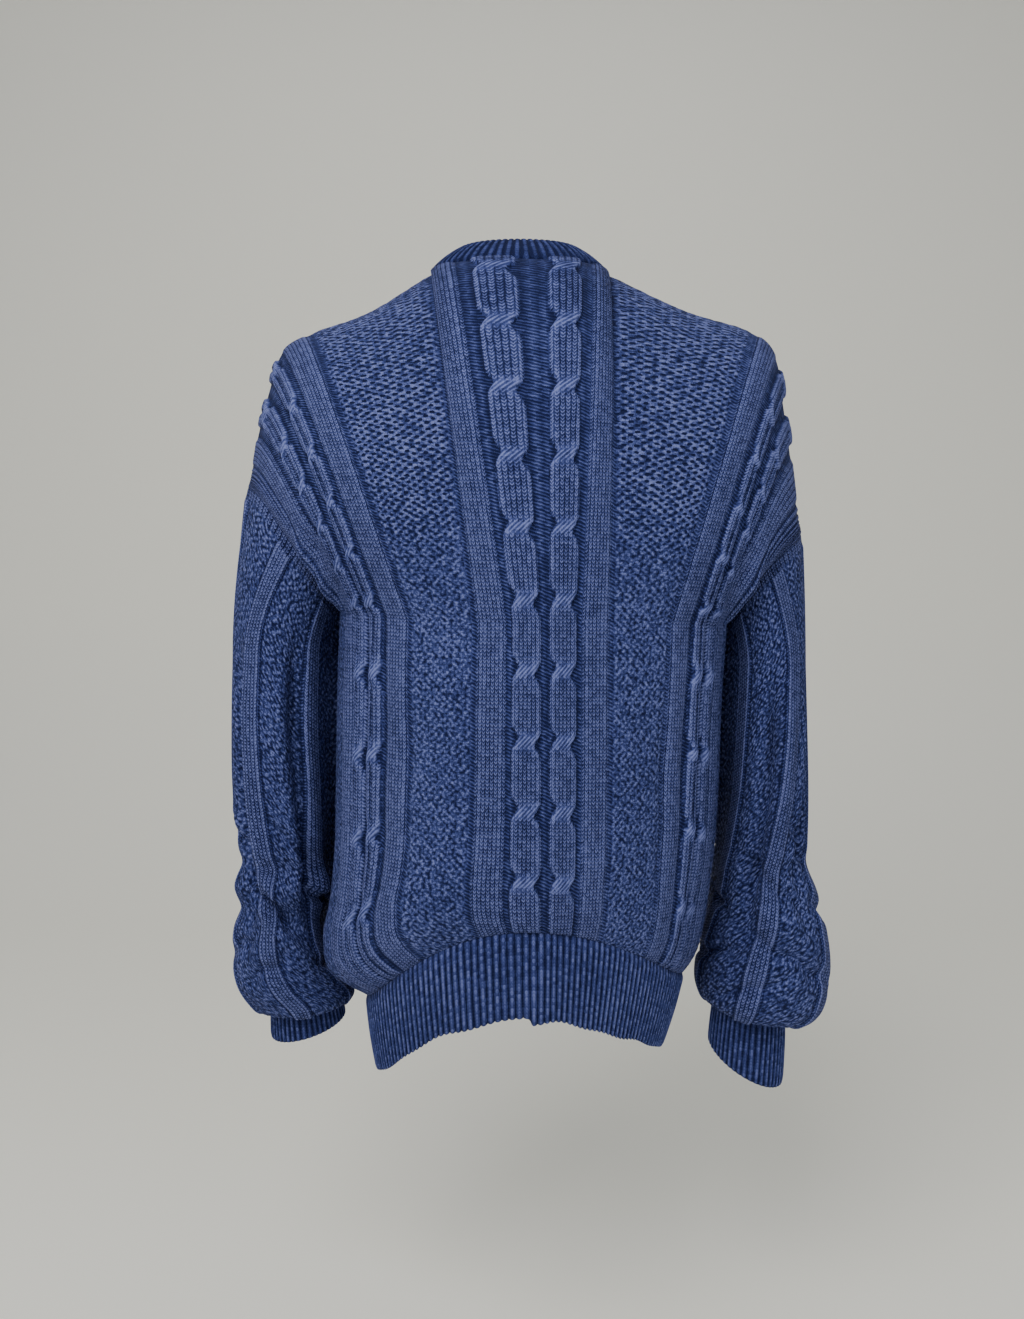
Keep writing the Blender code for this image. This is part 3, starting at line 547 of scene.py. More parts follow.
def bodyRow(face, rise, flat):
    # the oval between the hem ribbing, at rise 0, and the underarm, at rise 1
    levels = {key: low + rise * (body["underarm"][key] - low)
              for key, low in body["ribTop"].items()}
    left, right, depth = (float(columnOf(body["sections"], k, rise))
                          for k in (1, 2, 3 if face == "back" else 4))
    return ovalRow(left, right, depth, face, levels, flat)


def topEdge(face, flat):
    # the neckline is an oval out to the neck point, and the shoulder seam goes on from there
    neck, centre, half = body["neckPoint"], body["neckCentreX"], body["neckHalfWidth"]
    lean = math.asin((body["middleX"]["neck"] - centre) / half)
    reach = np.clip(np.abs(flat) / neck, 0, 1)
    angle = lean + (np.sign(flat) * math.pi / 2 - lean) * reach
    cosine = np.maximum(np.cos(angle), 0)
    points = np.stack([centre + half * np.sin(angle),
                       outwardOf[face] * body["neckDepth"][face] * cosine,
                       body["neckSideLevel"] - body["neckDrop"][face] * cosine**1.5], axis=1)
    for side, sign in (("left", -1), ("right", 1)):
        beyond = sign * flat > neck
        table, distance = body["shoulderSeam"][side], sign * flat[beyond]
        points[beyond] = np.stack([columnOf(table, 1, distance), np.zeros(beyond.sum()),
                                   columnOf(table, 2, distance)], axis=1)
    return points


def eased(face, low, high, climb, flat):
    # from the low points to the high ones as part of an oval: it leaves upright and leans in
    beyond = np.clip((np.abs(flat) - body["neckPoint"]) / body["roundsOver"], 0, 1)
    turn = body["turn"]
    end = np.radians(turn[face] + (turn["shoulder"] - turn[face]) * beyond)
    upward = np.sin(climb * end) / np.sin(end)
    inward = (1 - np.cos(climb * end)) / (1 - np.cos(end))
    fan = np.abs(flat) / body["halfWidth"]
    sideways = fan * climb + (1 - fan) * upward
    return low + (high - low) * np.stack([sideways, inward, upward], axis=-1)


def yokeRows(face, climbs, flat):
    # rows from the underarm, at climb 0, to the shoulder, at climb 1: part ovals that swell at the
    # shoulder blades and are pulled to the armhole's seam by a power of the share across
    climb = climbs[:, None]
    grid = eased(face, bodyRow(face, 1.0, flat), topEdge(face, flat), climb, flat[None, :])
    share = np.abs(flat) / body["halfWidth"]
    grid[..., 1] += (outwardOf[face] * body["shoulderBlade"]
                     * np.sin(math.pi * climb) * np.sin(math.pi * share))
    for side, sign in (("left", -1), ("right", 1)):
        edge = np.array([sign * body["halfWidth"]])
        start = eased(face, bodyRow(face, 1.0, edge), topEdge(face, edge), climb, edge[None, :])
        table = body["armhole"][side]
        seam = np.stack([columnOf(table, 1, climbs), outwardOf[face] * columnOf(table, 2, climbs),
                         columnOf(table, 3, climbs)], axis=-1)
        on = sign * flat > 0
        grid[:, on] += (seam[:, None] - start) * (share[on] ** body["armholePull"])[None, :, None]
    return grid


def fineLevels():
    # levels of the fine rows, and the row of the solid that each lies on: even steps of length, up
    # the middle for the solid's rows, and over three lines together for the fine ones
    rows, times = body["upperRows"], body["finePerRow"]
    climbs = np.linspace(0, 1, 961)
    lines = yokeRows("back", climbs, np.array([0.0, 0.08, 0.16]))
    even = lengths(lines).sum(axis=1)
    middle = lengths(lines[:, 0])
    solid = np.interp(np.linspace(0, middle[-1], rows + 1), middle, climbs)
    fine = np.interp(np.linspace(0, even[-1], rows * times + 1), even, climbs)
    place = body["lowerRows"] + np.interp(fine, solid, np.arange(len(solid)))
    lower = np.linspace(0, 1, body["lowerRows"] * times + 1)
    return (np.concatenate((lower, 1 + fine[1:])),
            np.concatenate((lower * body["lowerRows"], place[1:])))


zones = (
    # from the middle line outwards: start, end, steps, kind, height. The net and the side are moss
    (0.0000, 0.0032, 2, "purl", 0.0),
    (0.0032, 0.0248, 24, "cable", 0.0034),
    (0.0248, 0.0295, 5, "purl", 0.0),
    (0.0295, 0.0510, 8, "band", 0.0014),
    (0.0510, 0.0545, 3, "purl", 0.0001),
    (0.0545, 0.1050, 37, "net", 0.0006),
    (0.1050, 0.1085, 3, "purl", 0.0),
    (0.1085, 0.1295, 8, "band", 0.0014),
    (0.1295, 0.1328, 3, "purl", 0.0),
    (0.1328, 0.1498, 18, "twin cable", 0.0038),
    (0.1498, 0.1530, 3, "purl", 0.0),
    (0.1530, 0.1700, 18, "twin cable", 0.0038),
    (0.1700, 0.1735, 3, "purl", 0.0),
    (0.1735, 0.1900, 7, "band", 0.0018),
    (0.1900, 0.2500, 38, "side", 0.0006),
)
cable = {
    "periodRows": 4.23, "firstCrossing": 3.4,    # in the solid's rows
    "yokeShrink": 0.24, "yokeRows": (17, 34),    # how much narrower the swellings get, and where
    "reach": 0.115,          # share of a repeat over which a crossing works
    "tuck": 0.42,            # how far each side is drawn in there, of the half width
    "lag": 0.55,             # how far before and after the crossing's middle, in reaches
    "proud": 0.28, "groove": 0.0017, "grooveWidth": 0.16,    # the side cables have a groove
    # the raised wale at each side of a cable: its height, the painted highlight on it, its place
    # and its width
    "border": 0.00045, "borderHighlight": 0.16, "borderAt": 0.86, "borderWidth": 0.13,
}


def cableRelief(x, half, height, rowPlace, groove):
    # a rounded swelling with a raised wale at each side. At a crossing its left side is drawn in a
    # little above and its right side a little below, so that the strands between them lean
    repeat = cable["periodRows"]
    phase = (rowPlace - cable["firstCrossing"] + repeat / 2) % repeat / repeat - 0.5
    part = phase / cable["reach"]
    near = bell(part)
    half = half * (1 - cable["yokeShrink"] * smooth(*cable["yokeRows"], rowPlace))
    left = -half * (1 - cable["tuck"] * bell(part - cable["lag"]))
    right = half * (1 - cable["tuck"] * bell(part + cable["lag"]))
    across = (2 * x - left - right) / (right - left)
    relief = height * np.maximum(1 - across**4, 0) ** 0.5 * (1 + cable["proud"] * near)
    relief -= groove * bell(across / cable["grooveWidth"]) * (1 - near)
    away = np.abs(across)
    ridge = bell((away - cable["borderAt"]) / cable["borderWidth"])
    # the second value marks the raised side wales, outside a crossing, for a painted highlight
    return relief + cable["border"] * ridge, ridge * (1 - near), away < 1.02, near * (away < 0.95)


knitting = {
    "bead": 0.00040,         # height of the moss stitch's knobs
    "bandBorder": 0.00035, "bandBorderAt": 0.90, "bandBorderWidth": 0.0012,
    "stripe": 0.0009, "stripeWidth": 0.0060,    # wales beside the armhole
    "netRows": (22, 30),     # the solid's rows over which the moss opens to the yoke's net
    "neckShade": 0.26, "neckRows": (34, 43), "neckReach": (0.050, 0.064),
    "patternFade": ((-0.5, 2.5), (-0.5, 3)),    # rows and columns from an edge where it rises
    "foldFade": ((0, 12), (0, 10)),             # the same for the folds
}


def bead(wales, courses):
    # the seed stitch's uneven knobs: two slanting waves, each bent by the other's direction
    first = np.sin(2.05 * wales + 0.9 * courses + np.sin(0.7 * courses))
    second = np.sin(1.6 * courses - 0.8 * wales + np.sin(0.9 * wales))
    return knitting["bead"] * first * second


def panelMaps(places, rowPlace, courses):
    # height, and shares of plain knit, moss, crossed strands, lace and the painted highlight on
    # raised wales: each zone has its own profile across, and where two zones meet, the higher one
    # holds
    rows, columns = len(rowPlace), len(places)
    maps = {key: np.zeros((rows, columns)) for key in ("relief", "pale", *yarnShares[1:])}
    level = rowPlace[:, None]
    above = smooth(body["lowerRows"] - 0.5, body["lowerRows"] + 1.5, level)
    yoke = smooth(*knitting["netRows"], level)
    for start, end, _, kind, height in zones:
        half = (end - start) / 2
        for sign in (-1, 1):
            outward = sign * places
            inside = np.flatnonzero((outward >= start - 1e-9) & (outward <= end + 1e-9))
            x = places[inside][None, :] - sign * (start + end) / 2
            toEdge = 1 - np.abs(x / half)
            knit, moss, cross, pale = (np.zeros((rows, len(inside))) for _ in range(4))
            if kind in ("cable", "twin cable"):
                groove = cable["groove"] if kind == "twin cable" else 0.0
                values, pale, within, cross = cableRelief(x, half, height, level, groove)
                knit = np.where(within, 1.0, 0.0)
            elif kind == "band":
                # painted highlight along the band's raised border wales
                away = np.abs(x) - half * knitting["bandBorderAt"]
                pale = pale + bell(away / knitting["bandBorderWidth"])
                values = height * (1 - np.abs(x / half) ** 10) + knitting["bandBorder"] * pale
                knit = knit + 1
            elif kind in ("net", "side"):
                wales = places[inside][None, :] / cloth["wale"] + 0.5
                values = (height + bead(wales, courses[:, inside])) * smooth(0, 0.1, toEdge)
                moss = moss + 1
                if kind == "side":      # above the underarm, wales in place of the moss
                    turn = 2 * math.pi * (x + half) / knitting["stripeWidth"]
                    stripes = height + knitting["stripe"] * np.cos(turn)
                    values = values * (1 - above) + stripes * above
                    moss, knit = moss - above, knit + above
            else:
                values = np.full_like(knit, height)
            spot = np.ix_(np.arange(rows), inside)
            keep = values >= maps["relief"][spot] - 1e-9
            for key, new in (("relief", values), ("knit", knit), ("moss", moss), ("cross", cross),
                             ("pale", pale * cable["borderHighlight"])):
                maps[key][spot] = np.where(keep, new, maps[key][spot])
            if kind == "net":
                maps["lace"][spot] = yoke * smooth(0, 0.25, toEdge)
    return maps


def panelPlaces():
    # the columns' flat distances, from the zones' own steps, on both sides of the middle line
    places = np.concatenate([[0.0]] + [np.linspace(start, end, steps + 1)[1:]
                                       for start, end, steps, _, _ in zones])
    return np.concatenate((-places[:0:-1], places))


flatPlaces = panelPlaces()
levels, rowPlace = fineLevels()
underarmRow = body["lowerRows"] * body["finePerRow"]
panels = {}
for face in ("back", "front"):
    lower = np.array([bodyRow(face, level, flatPlaces) for level in levels[: underarmRow + 1]])
    base = np.concatenate((lower, yokeRows(face, levels[underarmRow + 1:] - 1, flatPlaces)))
    normals = gridNormals(base) * -outwardOf[face]
    # at an edge they lie in its seam's own plane, so that the walls of both cloths meet there
    normals[: underarmRow + 1, 0], normals[: underarmRow + 1, -1] = (-1, 0, 0), (1, 0, 0)
    normals[0] = unit(normals[0] * (1, 1, 0))
    beyond = np.abs(flatPlaces) > body["neckPoint"] + 1e-6
    normals[-1, beyond] = unit(normals[-1, beyond] * (1, 0, 1))
    away = (base[-1, ~beyond] - (body["neckCentreX"], 0, 0)) * (1, 1, 0)
    normals[-1, ~beyond] = unit(normals[-1, ~beyond] + 0.6 * unit(away))
    corners = np.flatnonzero(~beyond)[[0, -1]]
    normals[-1, corners] = unit(normals[-1, corners] * (1, 0, 1))
    panels[face] = {"base": base, "normals": normals, "neck": np.flatnonzero(~beyond)}
print("body surfaces worked out")

# ---------- sleeves
sleeve = {
    "sections": {
        # z, out, in, y, half depth, the bands' twist in degrees, how much lower the outer side is
        "left": (
            (-0.340, -0.2695, -0.1860, 0.000, 0.054, 0, 0),
            (-0.400, -0.2705, -0.1870, 0.000, 0.055, 0, 0),
            (-0.460, -0.2695, -0.1870, 0.002, 0.055, 4, 0),
            (-0.508, -0.2640, -0.1890, 0.004, 0.054, 10, 0),
            (-0.527, -0.2605, -0.1915, 0.006, 0.050, 14, 0),
            (-0.548, -0.2680, -0.1940, 0.008, 0.056, 18, 0),
            (-0.569, -0.2630, -0.1980, 0.010, 0.049, 20, 0),
            (-0.590, -0.2700, -0.1965, 0.011, 0.056, 22, 0),
            (-0.614, -0.2715, -0.1910, 0.012, 0.058, 24, 0),
            (-0.634, -0.2690, -0.1785, 0.012, 0.056, 26, 0.002),
            (-0.650, -0.2610, -0.1660, 0.012, 0.050, 28, 0.003),
            (-0.660, -0.2500, -0.1700, 0.012, 0.043, 30, 0.003),
            (-0.648, -0.2425, -0.1755, 0.012, 0.036, 30, 0.001),
            (-0.641, -0.2365, -0.1845, 0.012, 0.029, 30, 0.000),
        ),
        "right": (
            (-0.350, 0.2495, 0.1855, 0.000, 0.052, 0, 0),
            (-0.400, 0.2500, 0.1845, 0.000, 0.053, 4, 0),
            (-0.460, 0.2505, 0.1840, 0.002, 0.054, 12, 0),
            (-0.508, 0.2500, 0.1810, 0.004, 0.054, 22, 0),
            (-0.530, 0.2500, 0.1780, 0.005, 0.052, 26, 0),
            (-0.553, 0.2600, 0.1750, 0.006, 0.056, 30, 0.002),
            (-0.580, 0.2685, 0.1690, 0.008, 0.059, 34, 0.004),
            (-0.606, 0.2735, 0.1620, 0.009, 0.061, 38, 0.006),
            (-0.628, 0.2735, 0.1575, 0.010, 0.060, 40, 0.010),
            (-0.646, 0.2680, 0.1570, 0.010, 0.056, 42, 0.014),
            (-0.658, 0.2560, 0.1620, 0.011, 0.049, 44, 0.015),
            (-0.660, 0.2450, 0.1670, 0.012, 0.041, 45, 0.013),
            (-0.650, 0.2400, 0.1700, 0.012, 0.036, 45, 0.010),
            (-0.643, 0.2345, 0.1775, 0.012, 0.029, 45, 0.008),
        ),
    },
    "headRows": 4, "rows": 216,
    "bands": 5, "firstBand": 71.0, "bandAngle": 18.0, "edgeAngle": 3.0,
    "bandColumns": 12, "edgeColumns": 2, "mossColumns": 32,
    "bandWales": 5, "edgeWales": 1, "mossWales": 15,
    "bandHeight": 0.0024, "bandBorderAt": 0.86, "bandBorderWidth": 1.3, "mossHeight": 0.0006,
    "armholeStripes": 0.011, "combHeight": 0.0006, "combDepth": 0.0005, "seamFade": 0.012,
    "folds": {
        # share round from the first band's middle, first and last share of the length, width,
        # height, drift; the long ridge by the underarm fills the gap beside the body
        "left": (
            (0.080, 0.12, 0.88, 0.032, -0.0150, 0.020),
            (0.012, 0.12, 0.88, 0.030, 0.0040, 0.010),
            (0.870, 0.08, 0.82, 0.028, -0.0120, -0.040),
            (0.915, 0.15, 0.80, 0.028, 0.0045, -0.030),
            (0.330, 0.10, 0.60, 0.026, -0.0060, 0.030),
            (0.560, 0.15, 0.75, 0.026, -0.0065, -0.020),
            (0.450, 0.45, 0.90, 0.030, 0.0040, 0.020),
            (0.640, -0.25, 1.15, 0.052, 0.0160, 0.000),
        ),
        "right": (
            (0.920, 0.12, 0.86, 0.030, -0.0130, 0.020),
            (0.985, 0.15, 0.86, 0.030, 0.0045, 0.015),
            (0.125, 0.10, 0.80, 0.028, -0.0110, -0.020),
            (0.075, 0.20, 0.75, 0.028, 0.0040, 0.020),
            (0.350, 0.12, 0.62, 0.026, -0.0060, 0.030),
            (0.560, 0.18, 0.75, 0.026, -0.0065, -0.020),
            (0.460, 0.45, 0.90, 0.030, 0.0040, 0.020),
            (0.640, -0.25, 1.15, 0.052, 0.0160, 0.000),
        ),
    },
    "wrinkles": {
        # share round, share of the length, reach round, width along, height, slope
        "left": (
            (0.03, 0.675, 0.15, 0.015, -0.0090, -0.52),
            (0.05, 0.630, 0.13, 0.020, 0.0045, -0.45),
            (0.00, 0.730, 0.16, 0.022, 0.0045, -0.50),
            (-0.21, 0.670, 0.07, 0.014, -0.0085, -0.40),
            (-0.24, 0.840, 0.08, 0.014, -0.0080, -0.30),
            (0.12, 0.800, 0.10, 0.015, -0.0065, 0.35),
            (-0.10, 0.560, 0.07, 0.014, -0.0055, -0.60),
            (0.02, 0.830, 0.09, 0.014, -0.0055, 0.40),
            (0.55, 0.600, 0.14, 0.015, -0.0070, 0.40),
            (0.48, 0.720, 0.15, 0.015, -0.0080, 0.45),
            (0.40, 0.790, 0.12, 0.020, 0.0040, 0.40),
            (0.30, 0.560, 0.08, 0.016, -0.0055, 0.20),
            (-0.28, 0.660, 0.10, 0.050, 0.0120, 0.00),
        ),
        "right": (
            (0.00, 0.640, 0.13, 0.015, -0.0070, 0.50),
            (0.06, 0.780, 0.14, 0.015, -0.0075, 0.35),
            (-0.14, 0.800, 0.10, 0.015, -0.0070, -0.30),
            (0.02, 0.710, 0.14, 0.022, 0.0040, 0.45),
            (-0.22, 0.680, 0.08, 0.014, -0.0080, 0.30),
            (0.22, 0.700, 0.08, 0.015, -0.0060, 0.20),
            (0.10, 0.560, 0.07, 0.014, -0.0050, 0.60),
            (-0.02, 0.860, 0.09, 0.014, -0.0050, -0.40),
            (0.52, 0.620, 0.14, 0.015, -0.0070, -0.40),
            (0.46, 0.740, 0.15, 0.015, -0.0075, -0.45),
            (0.40, 0.800, 0.12, 0.020, 0.0040, -0.40),
            (0.32, 0.560, 0.08, 0.016, -0.0050, -0.20),
        ),
    },
}


def sleeveColumns():
    # one repeat is a band, its two edges and a strip of moss; share round, wale and place in it
    count, band, edge = sleeve["bands"], sleeve["bandAngle"], sleeve["edgeAngle"]
    repeat = 360 / count
    keys = band / 2 + np.array([-band, 0, edge, repeat - band - edge, repeat - band])
    steps, walesAt = (
        np.cumsum([0] + [sleeve[part + kind] for part in ("band", "edge", "moss", "edge")])
        for kind in ("Columns", "Wales"))
    offset = np.interp(np.arange(steps[-1]), steps, keys)
    wale = np.interp(offset, keys, walesAt)
    order = np.arange(count)[:, None]
    share = ((offset + order * repeat) / 360).ravel()
    return share, (wale + order * walesAt[-1]).ravel(), np.tile(offset, count), walesAt[-1] * count


def sleeveRows(side, ring, places, way, share):
    # the armhole's ring, the sleeve's head and its sections, at each way along and share round. x
    # and y go round as a cosine and a sine to the power 2/ovalPower
    table = np.array(sleeve["sections"][side])
    keys = np.arange(len(table))
    row = np.maximum(way - sleeve["headRows"], 0)
    z, out, inner, y, thick, twist, drop = (
        glide(keys, table[:, k], row)[:, None] for k in range(7))
    u = (180 - sleeve["firstBand"] - twist) / 360 + share[None, :]
    angle = math.pi * (1 - 2 * u)
    bend = 2 / body["ovalPower"]
    cosine, sine = np.cos(angle), np.sin(angle)
    oval = np.stack([
        (out + inner) / 2 + (out - inner) / 2 * np.sign(cosine) * np.abs(cosine) ** bend,
        y - thick * np.sign(sine) * np.abs(sine) ** bend,
        z - drop * (1 + cosine) / 2], axis=-1)
    head = np.minimum(way / sleeve["headRows"], 1)[:, None, None]
    swell = np.sin(head * math.pi / 2)
    start = ringAt(places, ring, u)
    return start + (oval - start) * np.concatenate((swell, swell, head), axis=-1)


def sleevePlaces(side, row, share):
    # where the columns of a section stand round the armhole, from 0 to 1
    return ((180 - sleeve["firstBand"] - sleeve["sections"][side][row][5]) / 360 + share) % 1


def makeSleeve(side):
    # the tube of sleeveRows, with its bands, moss and armhole comb as height along its normals,
    # and with its folds and creases in both skins
    column = 0 if side == "left" else -1
    rows = slice(underarmRow, None)
    back, front = (panels[face]["base"][rows, column] for face in ("back", "front"))
    climbs = levels[rows] - 1
    ring = np.concatenate((back, front[-2:0:-1]))
    places = np.concatenate((climbs / 2, 1 - climbs[-2:0:-1] / 2))
    backward, forward = (panels[face]["normals"][rows, column] for face in ("back", "front"))
    panelNormals = np.concatenate((backward, forward[-2:0:-1]))
    share, wale, offset, wales = sleeveColumns()
    last = sleeve["headRows"] + len(sleeve["sections"][side]) - 1
    ways = np.linspace(0, last, 601)
    coarse = sleeveRows(side, ring, places, ways, share[::30])
    length = lengths(coarse).mean(axis=1)
    ways = np.interp(np.linspace(0, length[-1], sleeve["rows"] + 1), length, ways)
    base = sleeveRows(side, ring, places, ways, share)
    outward = 1 if side == "left" else -1
    normals = gridNormals(base, True, 10) * outward
    normals[-1] = unit(normals[-1] * (1, 1, 0))

    # the seam takes the mean of both cloths, and the panels get it back at their own rows
    atArmhole = sleevePlaces(side, 0, share)
    order = np.argsort(atArmhole)
    shared = unit(unit(panelNormals) + ringAt(atArmhole[order], normals[0][order], places))
    normals[0] = unit(ringAt(places, shared, atArmhole))
    panels["back"]["normals"][rows, column] = shared[: len(climbs)]
    panels["front"]["normals"][underarmRow, column] = shared[0]
    panels["front"]["normals"][underarmRow + 1:, column] = shared[: len(climbs) - 2: -1]

    down = lengths(base)
    lengthShare = down / down[-1]
    half, repeat = sleeve["bandAngle"] / 2, 360 / sleeve["bands"]
    away = np.abs(np.where(offset > repeat / 2, offset - repeat, offset))[None, :]
    onBand = (away <= half + 1e-6) * np.ones_like(down)
    inMoss = (away >= half + sleeve["edgeAngle"] - 1e-6) * np.ones_like(down)
    border = bell((away - half * sleeve["bandBorderAt"]) / sleeve["bandBorderWidth"])
    relief = onBand * (sleeve["bandHeight"] * (1 - (away / (half + 1)) ** 12)
                       + knitting["bandBorder"] * border)
    relief = relief + inMoss * (sleeve["mossHeight"] + bead(wale[None, :], down / cloth["course"]))
    stripes = 1 - smooth(0.7, 1.1, down / sleeve["armholeStripes"])
    comb = sleeve["combHeight"] + sleeve["combDepth"] * np.cos(math.pi * wale)[None, :]
    relief = relief * (1 - stripes) + comb * stripes
    fade = smooth(0, sleeve["seamFade"], down) * smooth(0, sleeve["seamFade"], down[-1] - down)
    creases = (foldsOver(sleeve["folds"][side], share, lengthShare.mean(axis=1), 1.0)
               + wrinklesOver(sleeve["wrinkles"][side], share, lengthShare)) * fade
    # tone is painted shade in the relief's grooves and painted light on what stands above them
    maps = {
        "u": np.broadcast_to(wale, down.shape), "v": -down / cloth["course"],
        "tone": paintedReliefShade(relief, True), "knit": onBand * (1 - stripes) + stripes,
        "moss": inMoss * (1 - stripes), "cross": 0 * down, "lace": 0 * down,
    }
    relief = relief * smooth(-0.001, 0.003, down) * fade**0.3
    piece = buildWall(f"{side}_sleeve", base, normals, relief + creases, creases, maps, sleeveKnit,
                      side == "right", wales)
    atWrist = sleevePlaces(side, -1, share)
    order = np.argsort(atWrist)
    return piece, {"points": base[-1][order], "normals": -normals[-1][order],
                   "places": atWrist[order]}


leftSleeve, leftWrist = makeSleeve("left")
rightSleeve, rightWrist = makeSleeve("right")


# ---------- back and front panels
def makePanel(face):
    # the panel's surface, with the pattern as height along its normals and folds in both skins
    base, normals = panels[face]["base"], panels[face]["normals"]
    down = lengths(base)
    down = down - down[underarmRow]
    maps = panelMaps(flatPlaces, rowPlace, down / cloth["course"])
    rows, columns = np.arange(len(levels)), np.arange(len(flatPlaces))
    rowsIn = np.minimum(rows, rows[::-1])[:, None]
    columnsIn = np.minimum(columns, columns[::-1])[None, :]
    fade, foldFade = (smooth(*knitting[key][0], rowsIn) * smooth(*knitting[key][1], columnsIn)
                      for key in ("patternFade", "foldFade"))
    creases = foldsOver(folds[face], flatPlaces, levels) * foldFade
    maps["u"] = np.broadcast_to(flatPlaces / cloth["wale"] + 0.5, down.shape)
    maps["v"] = down / cloth["course"]
    # painted shade under the collar: the middle below the neckline is darker
    paintedNeckShade = (knitting["neckShade"] * smooth(*knitting["neckRows"], rowPlace)[:, None]
             * (1 - smooth(*knitting["neckReach"], np.abs(flatPlaces))))
    relief = maps.pop("relief")
    maps["tone"] = np.clip(paintedReliefShade(relief) + maps.pop("pale") - paintedNeckShade, 0, 1)
    return buildWall(f"{face}_panel", base, normals, relief * fade + creases, creases, maps,
                     patternedKnit, face == "front")


backPanel = makePanel("back")
frontPanel = makePanel("front")

# ---------- ribbing
rib = {
    "height": 0.0021, "columns": 12, "rise": 0.10, "roundness": 0.6,
    # painted shade and light: the ribs' valleys are painted dark and their crests light, and each
    # ring is darkened by its own amount as painted shade
    "grooveTone": 0.02, "crestTone": 0.95, "endFlatter": 0.35,
    "hem": {
        "ribs": 84, "rows": 24, "wave": 0.0016, "scallop": 0.0010, "paintedShade": 0.14,
        "step": {"x": -0.012, "drop": 0.0032, "width": 0.0015, "reach": 0.026},
        "bottom": {"back": -0.628, "front": -0.670, "left": -0.711, "right": -0.687},
        "left": -0.1385, "right": 0.1190, "back": 0.123, "front": 0.125,
    },
    "neck": {
        "ribs": 70, "rows": 12, "halfWidth": 0.0530, "depth": {"back": 0.061, "front": 0.068},
        "level": {"back": 0.019, "side": 0.028, "front": -0.046}, "bulge": 0.0015, "paintedShade": 0.34,
    },
    "cuff": {
        "ribs": 44, "rows": 24, "paintedShade": 0.18,
        # middle and half width of the open end, its outer and inner level, how much lower it is at
        # the garment's back, and its middle and half depth
        "left": {"x": -0.2065, "half": 0.0325, "outZ": -0.693, "inZ": -0.677,
                 "dip": 0.003, "y": 0.014, "thick": 0.030},
        "right": {"x": 0.2010, "half": 0.0325, "outZ": -0.733, "inZ": -0.702,
                  "dip": 0.009, "y": 0.014, "thick": 0.029},
    },
}


def ribMaps(base, sway, paintedShade):
    # height and shares: each rib is a sine to a low power, a round crest by a narrow valley, that
    # rises from the seam, sways a little and gets flatter at the open end. A rib has two wales
    shape = base.shape[:2]
    across = np.arange(shape[1])[None, :] / rib["columns"]
    down = lengths(base)
    share = down / down[-1]
    place = across + 0.03 * sway * np.sin(across * 1.7 + 6 * share)
    crest = np.abs(np.sin(math.pi * place)) ** rib["roundness"]
    relief = (rib["height"] * crest * smooth(0, rib["rise"], share)
              * (1 - rib["endFlatter"] * smooth(0.94, 1, share)))
    # painted shade in the valleys, painted light on the crests, and the ring's own painted shade
    # over all
    tone = rib["grooveTone"] + (rib["crestTone"] - rib["grooveTone"]) * crest - paintedShade
    return relief, {
        "u": np.broadcast_to(across * 2 + 0.5, shape), "v": down / cloth["course"],
        "tone": np.clip(tone, 0, 1), "knit": np.ones(shape),
        **{label: np.zeros(shape) for label in ("moss", "cross", "lace")},
    }


def makeTubeRib(name, top, bottom, normals, size, flip, bulge, sway):
    # a ring of ribbing, in rows that run straight from its seam to its open end and swell between
    share = np.linspace(0, 1, size["rows"] + 1)[:, None, None]
    base = top + (bottom - top) * share
    rest = gridNormals(base, True, 6)
    rest = rest * np.sign(np.sum(rest[0] * normals))
    start = smooth(0, 0.3, share)
    turned = unit(normals * (1 - start) + rest * start)
    base = base + turned * bulge * np.sin(math.pi * share)
    relief, maps = ribMaps(base, sway, size["paintedShade"])
    return buildWall(name, base, turned, relief, 0.0, maps, ribKnit, flip, size["ribs"] * 2)


def ribPlaces(size):
    # the columns' places round a ring of ribs, from 0 to 1
    columns = size["ribs"] * rib["columns"]
    return np.arange(columns) / columns


def makeCuff(side, wrist):
    # from the sleeve's last ring to an oval that leans: its level is a cosine of the angle round,
    # with a dip at the garment's back
    size = rib["cuff"][side]
    at = ribPlaces(rib["cuff"])
    top = ringAt(wrist["places"], wrist["points"], at)
    normals = unit(ringAt(wrist["places"], wrist["normals"], at))
    low, high = top.min(axis=0), top.max(axis=0)
    away = (top - (low + high) / 2) / (high - low + 1e-9)
    angle = np.arctan2(away[:, 1], away[:, 0])
    tilt = (-1 if side == "left" else 1) * (size["outZ"] - size["inZ"]) / 2
    bottom = np.stack([
        size["x"] + size["half"] * np.cos(angle), size["y"] + size["thick"] * np.sin(angle),
        (size["outZ"] + size["inZ"]) / 2 + tilt * np.cos(angle)
        + size["dip"] * np.minimum(np.sin(angle), 0)], axis=1)
    return makeTubeRib(f"{side}_cuff_ribbing", top, bottom, normals, rib["cuff"],
                       side == "right", cloth["edgeSwell"], 1.0)


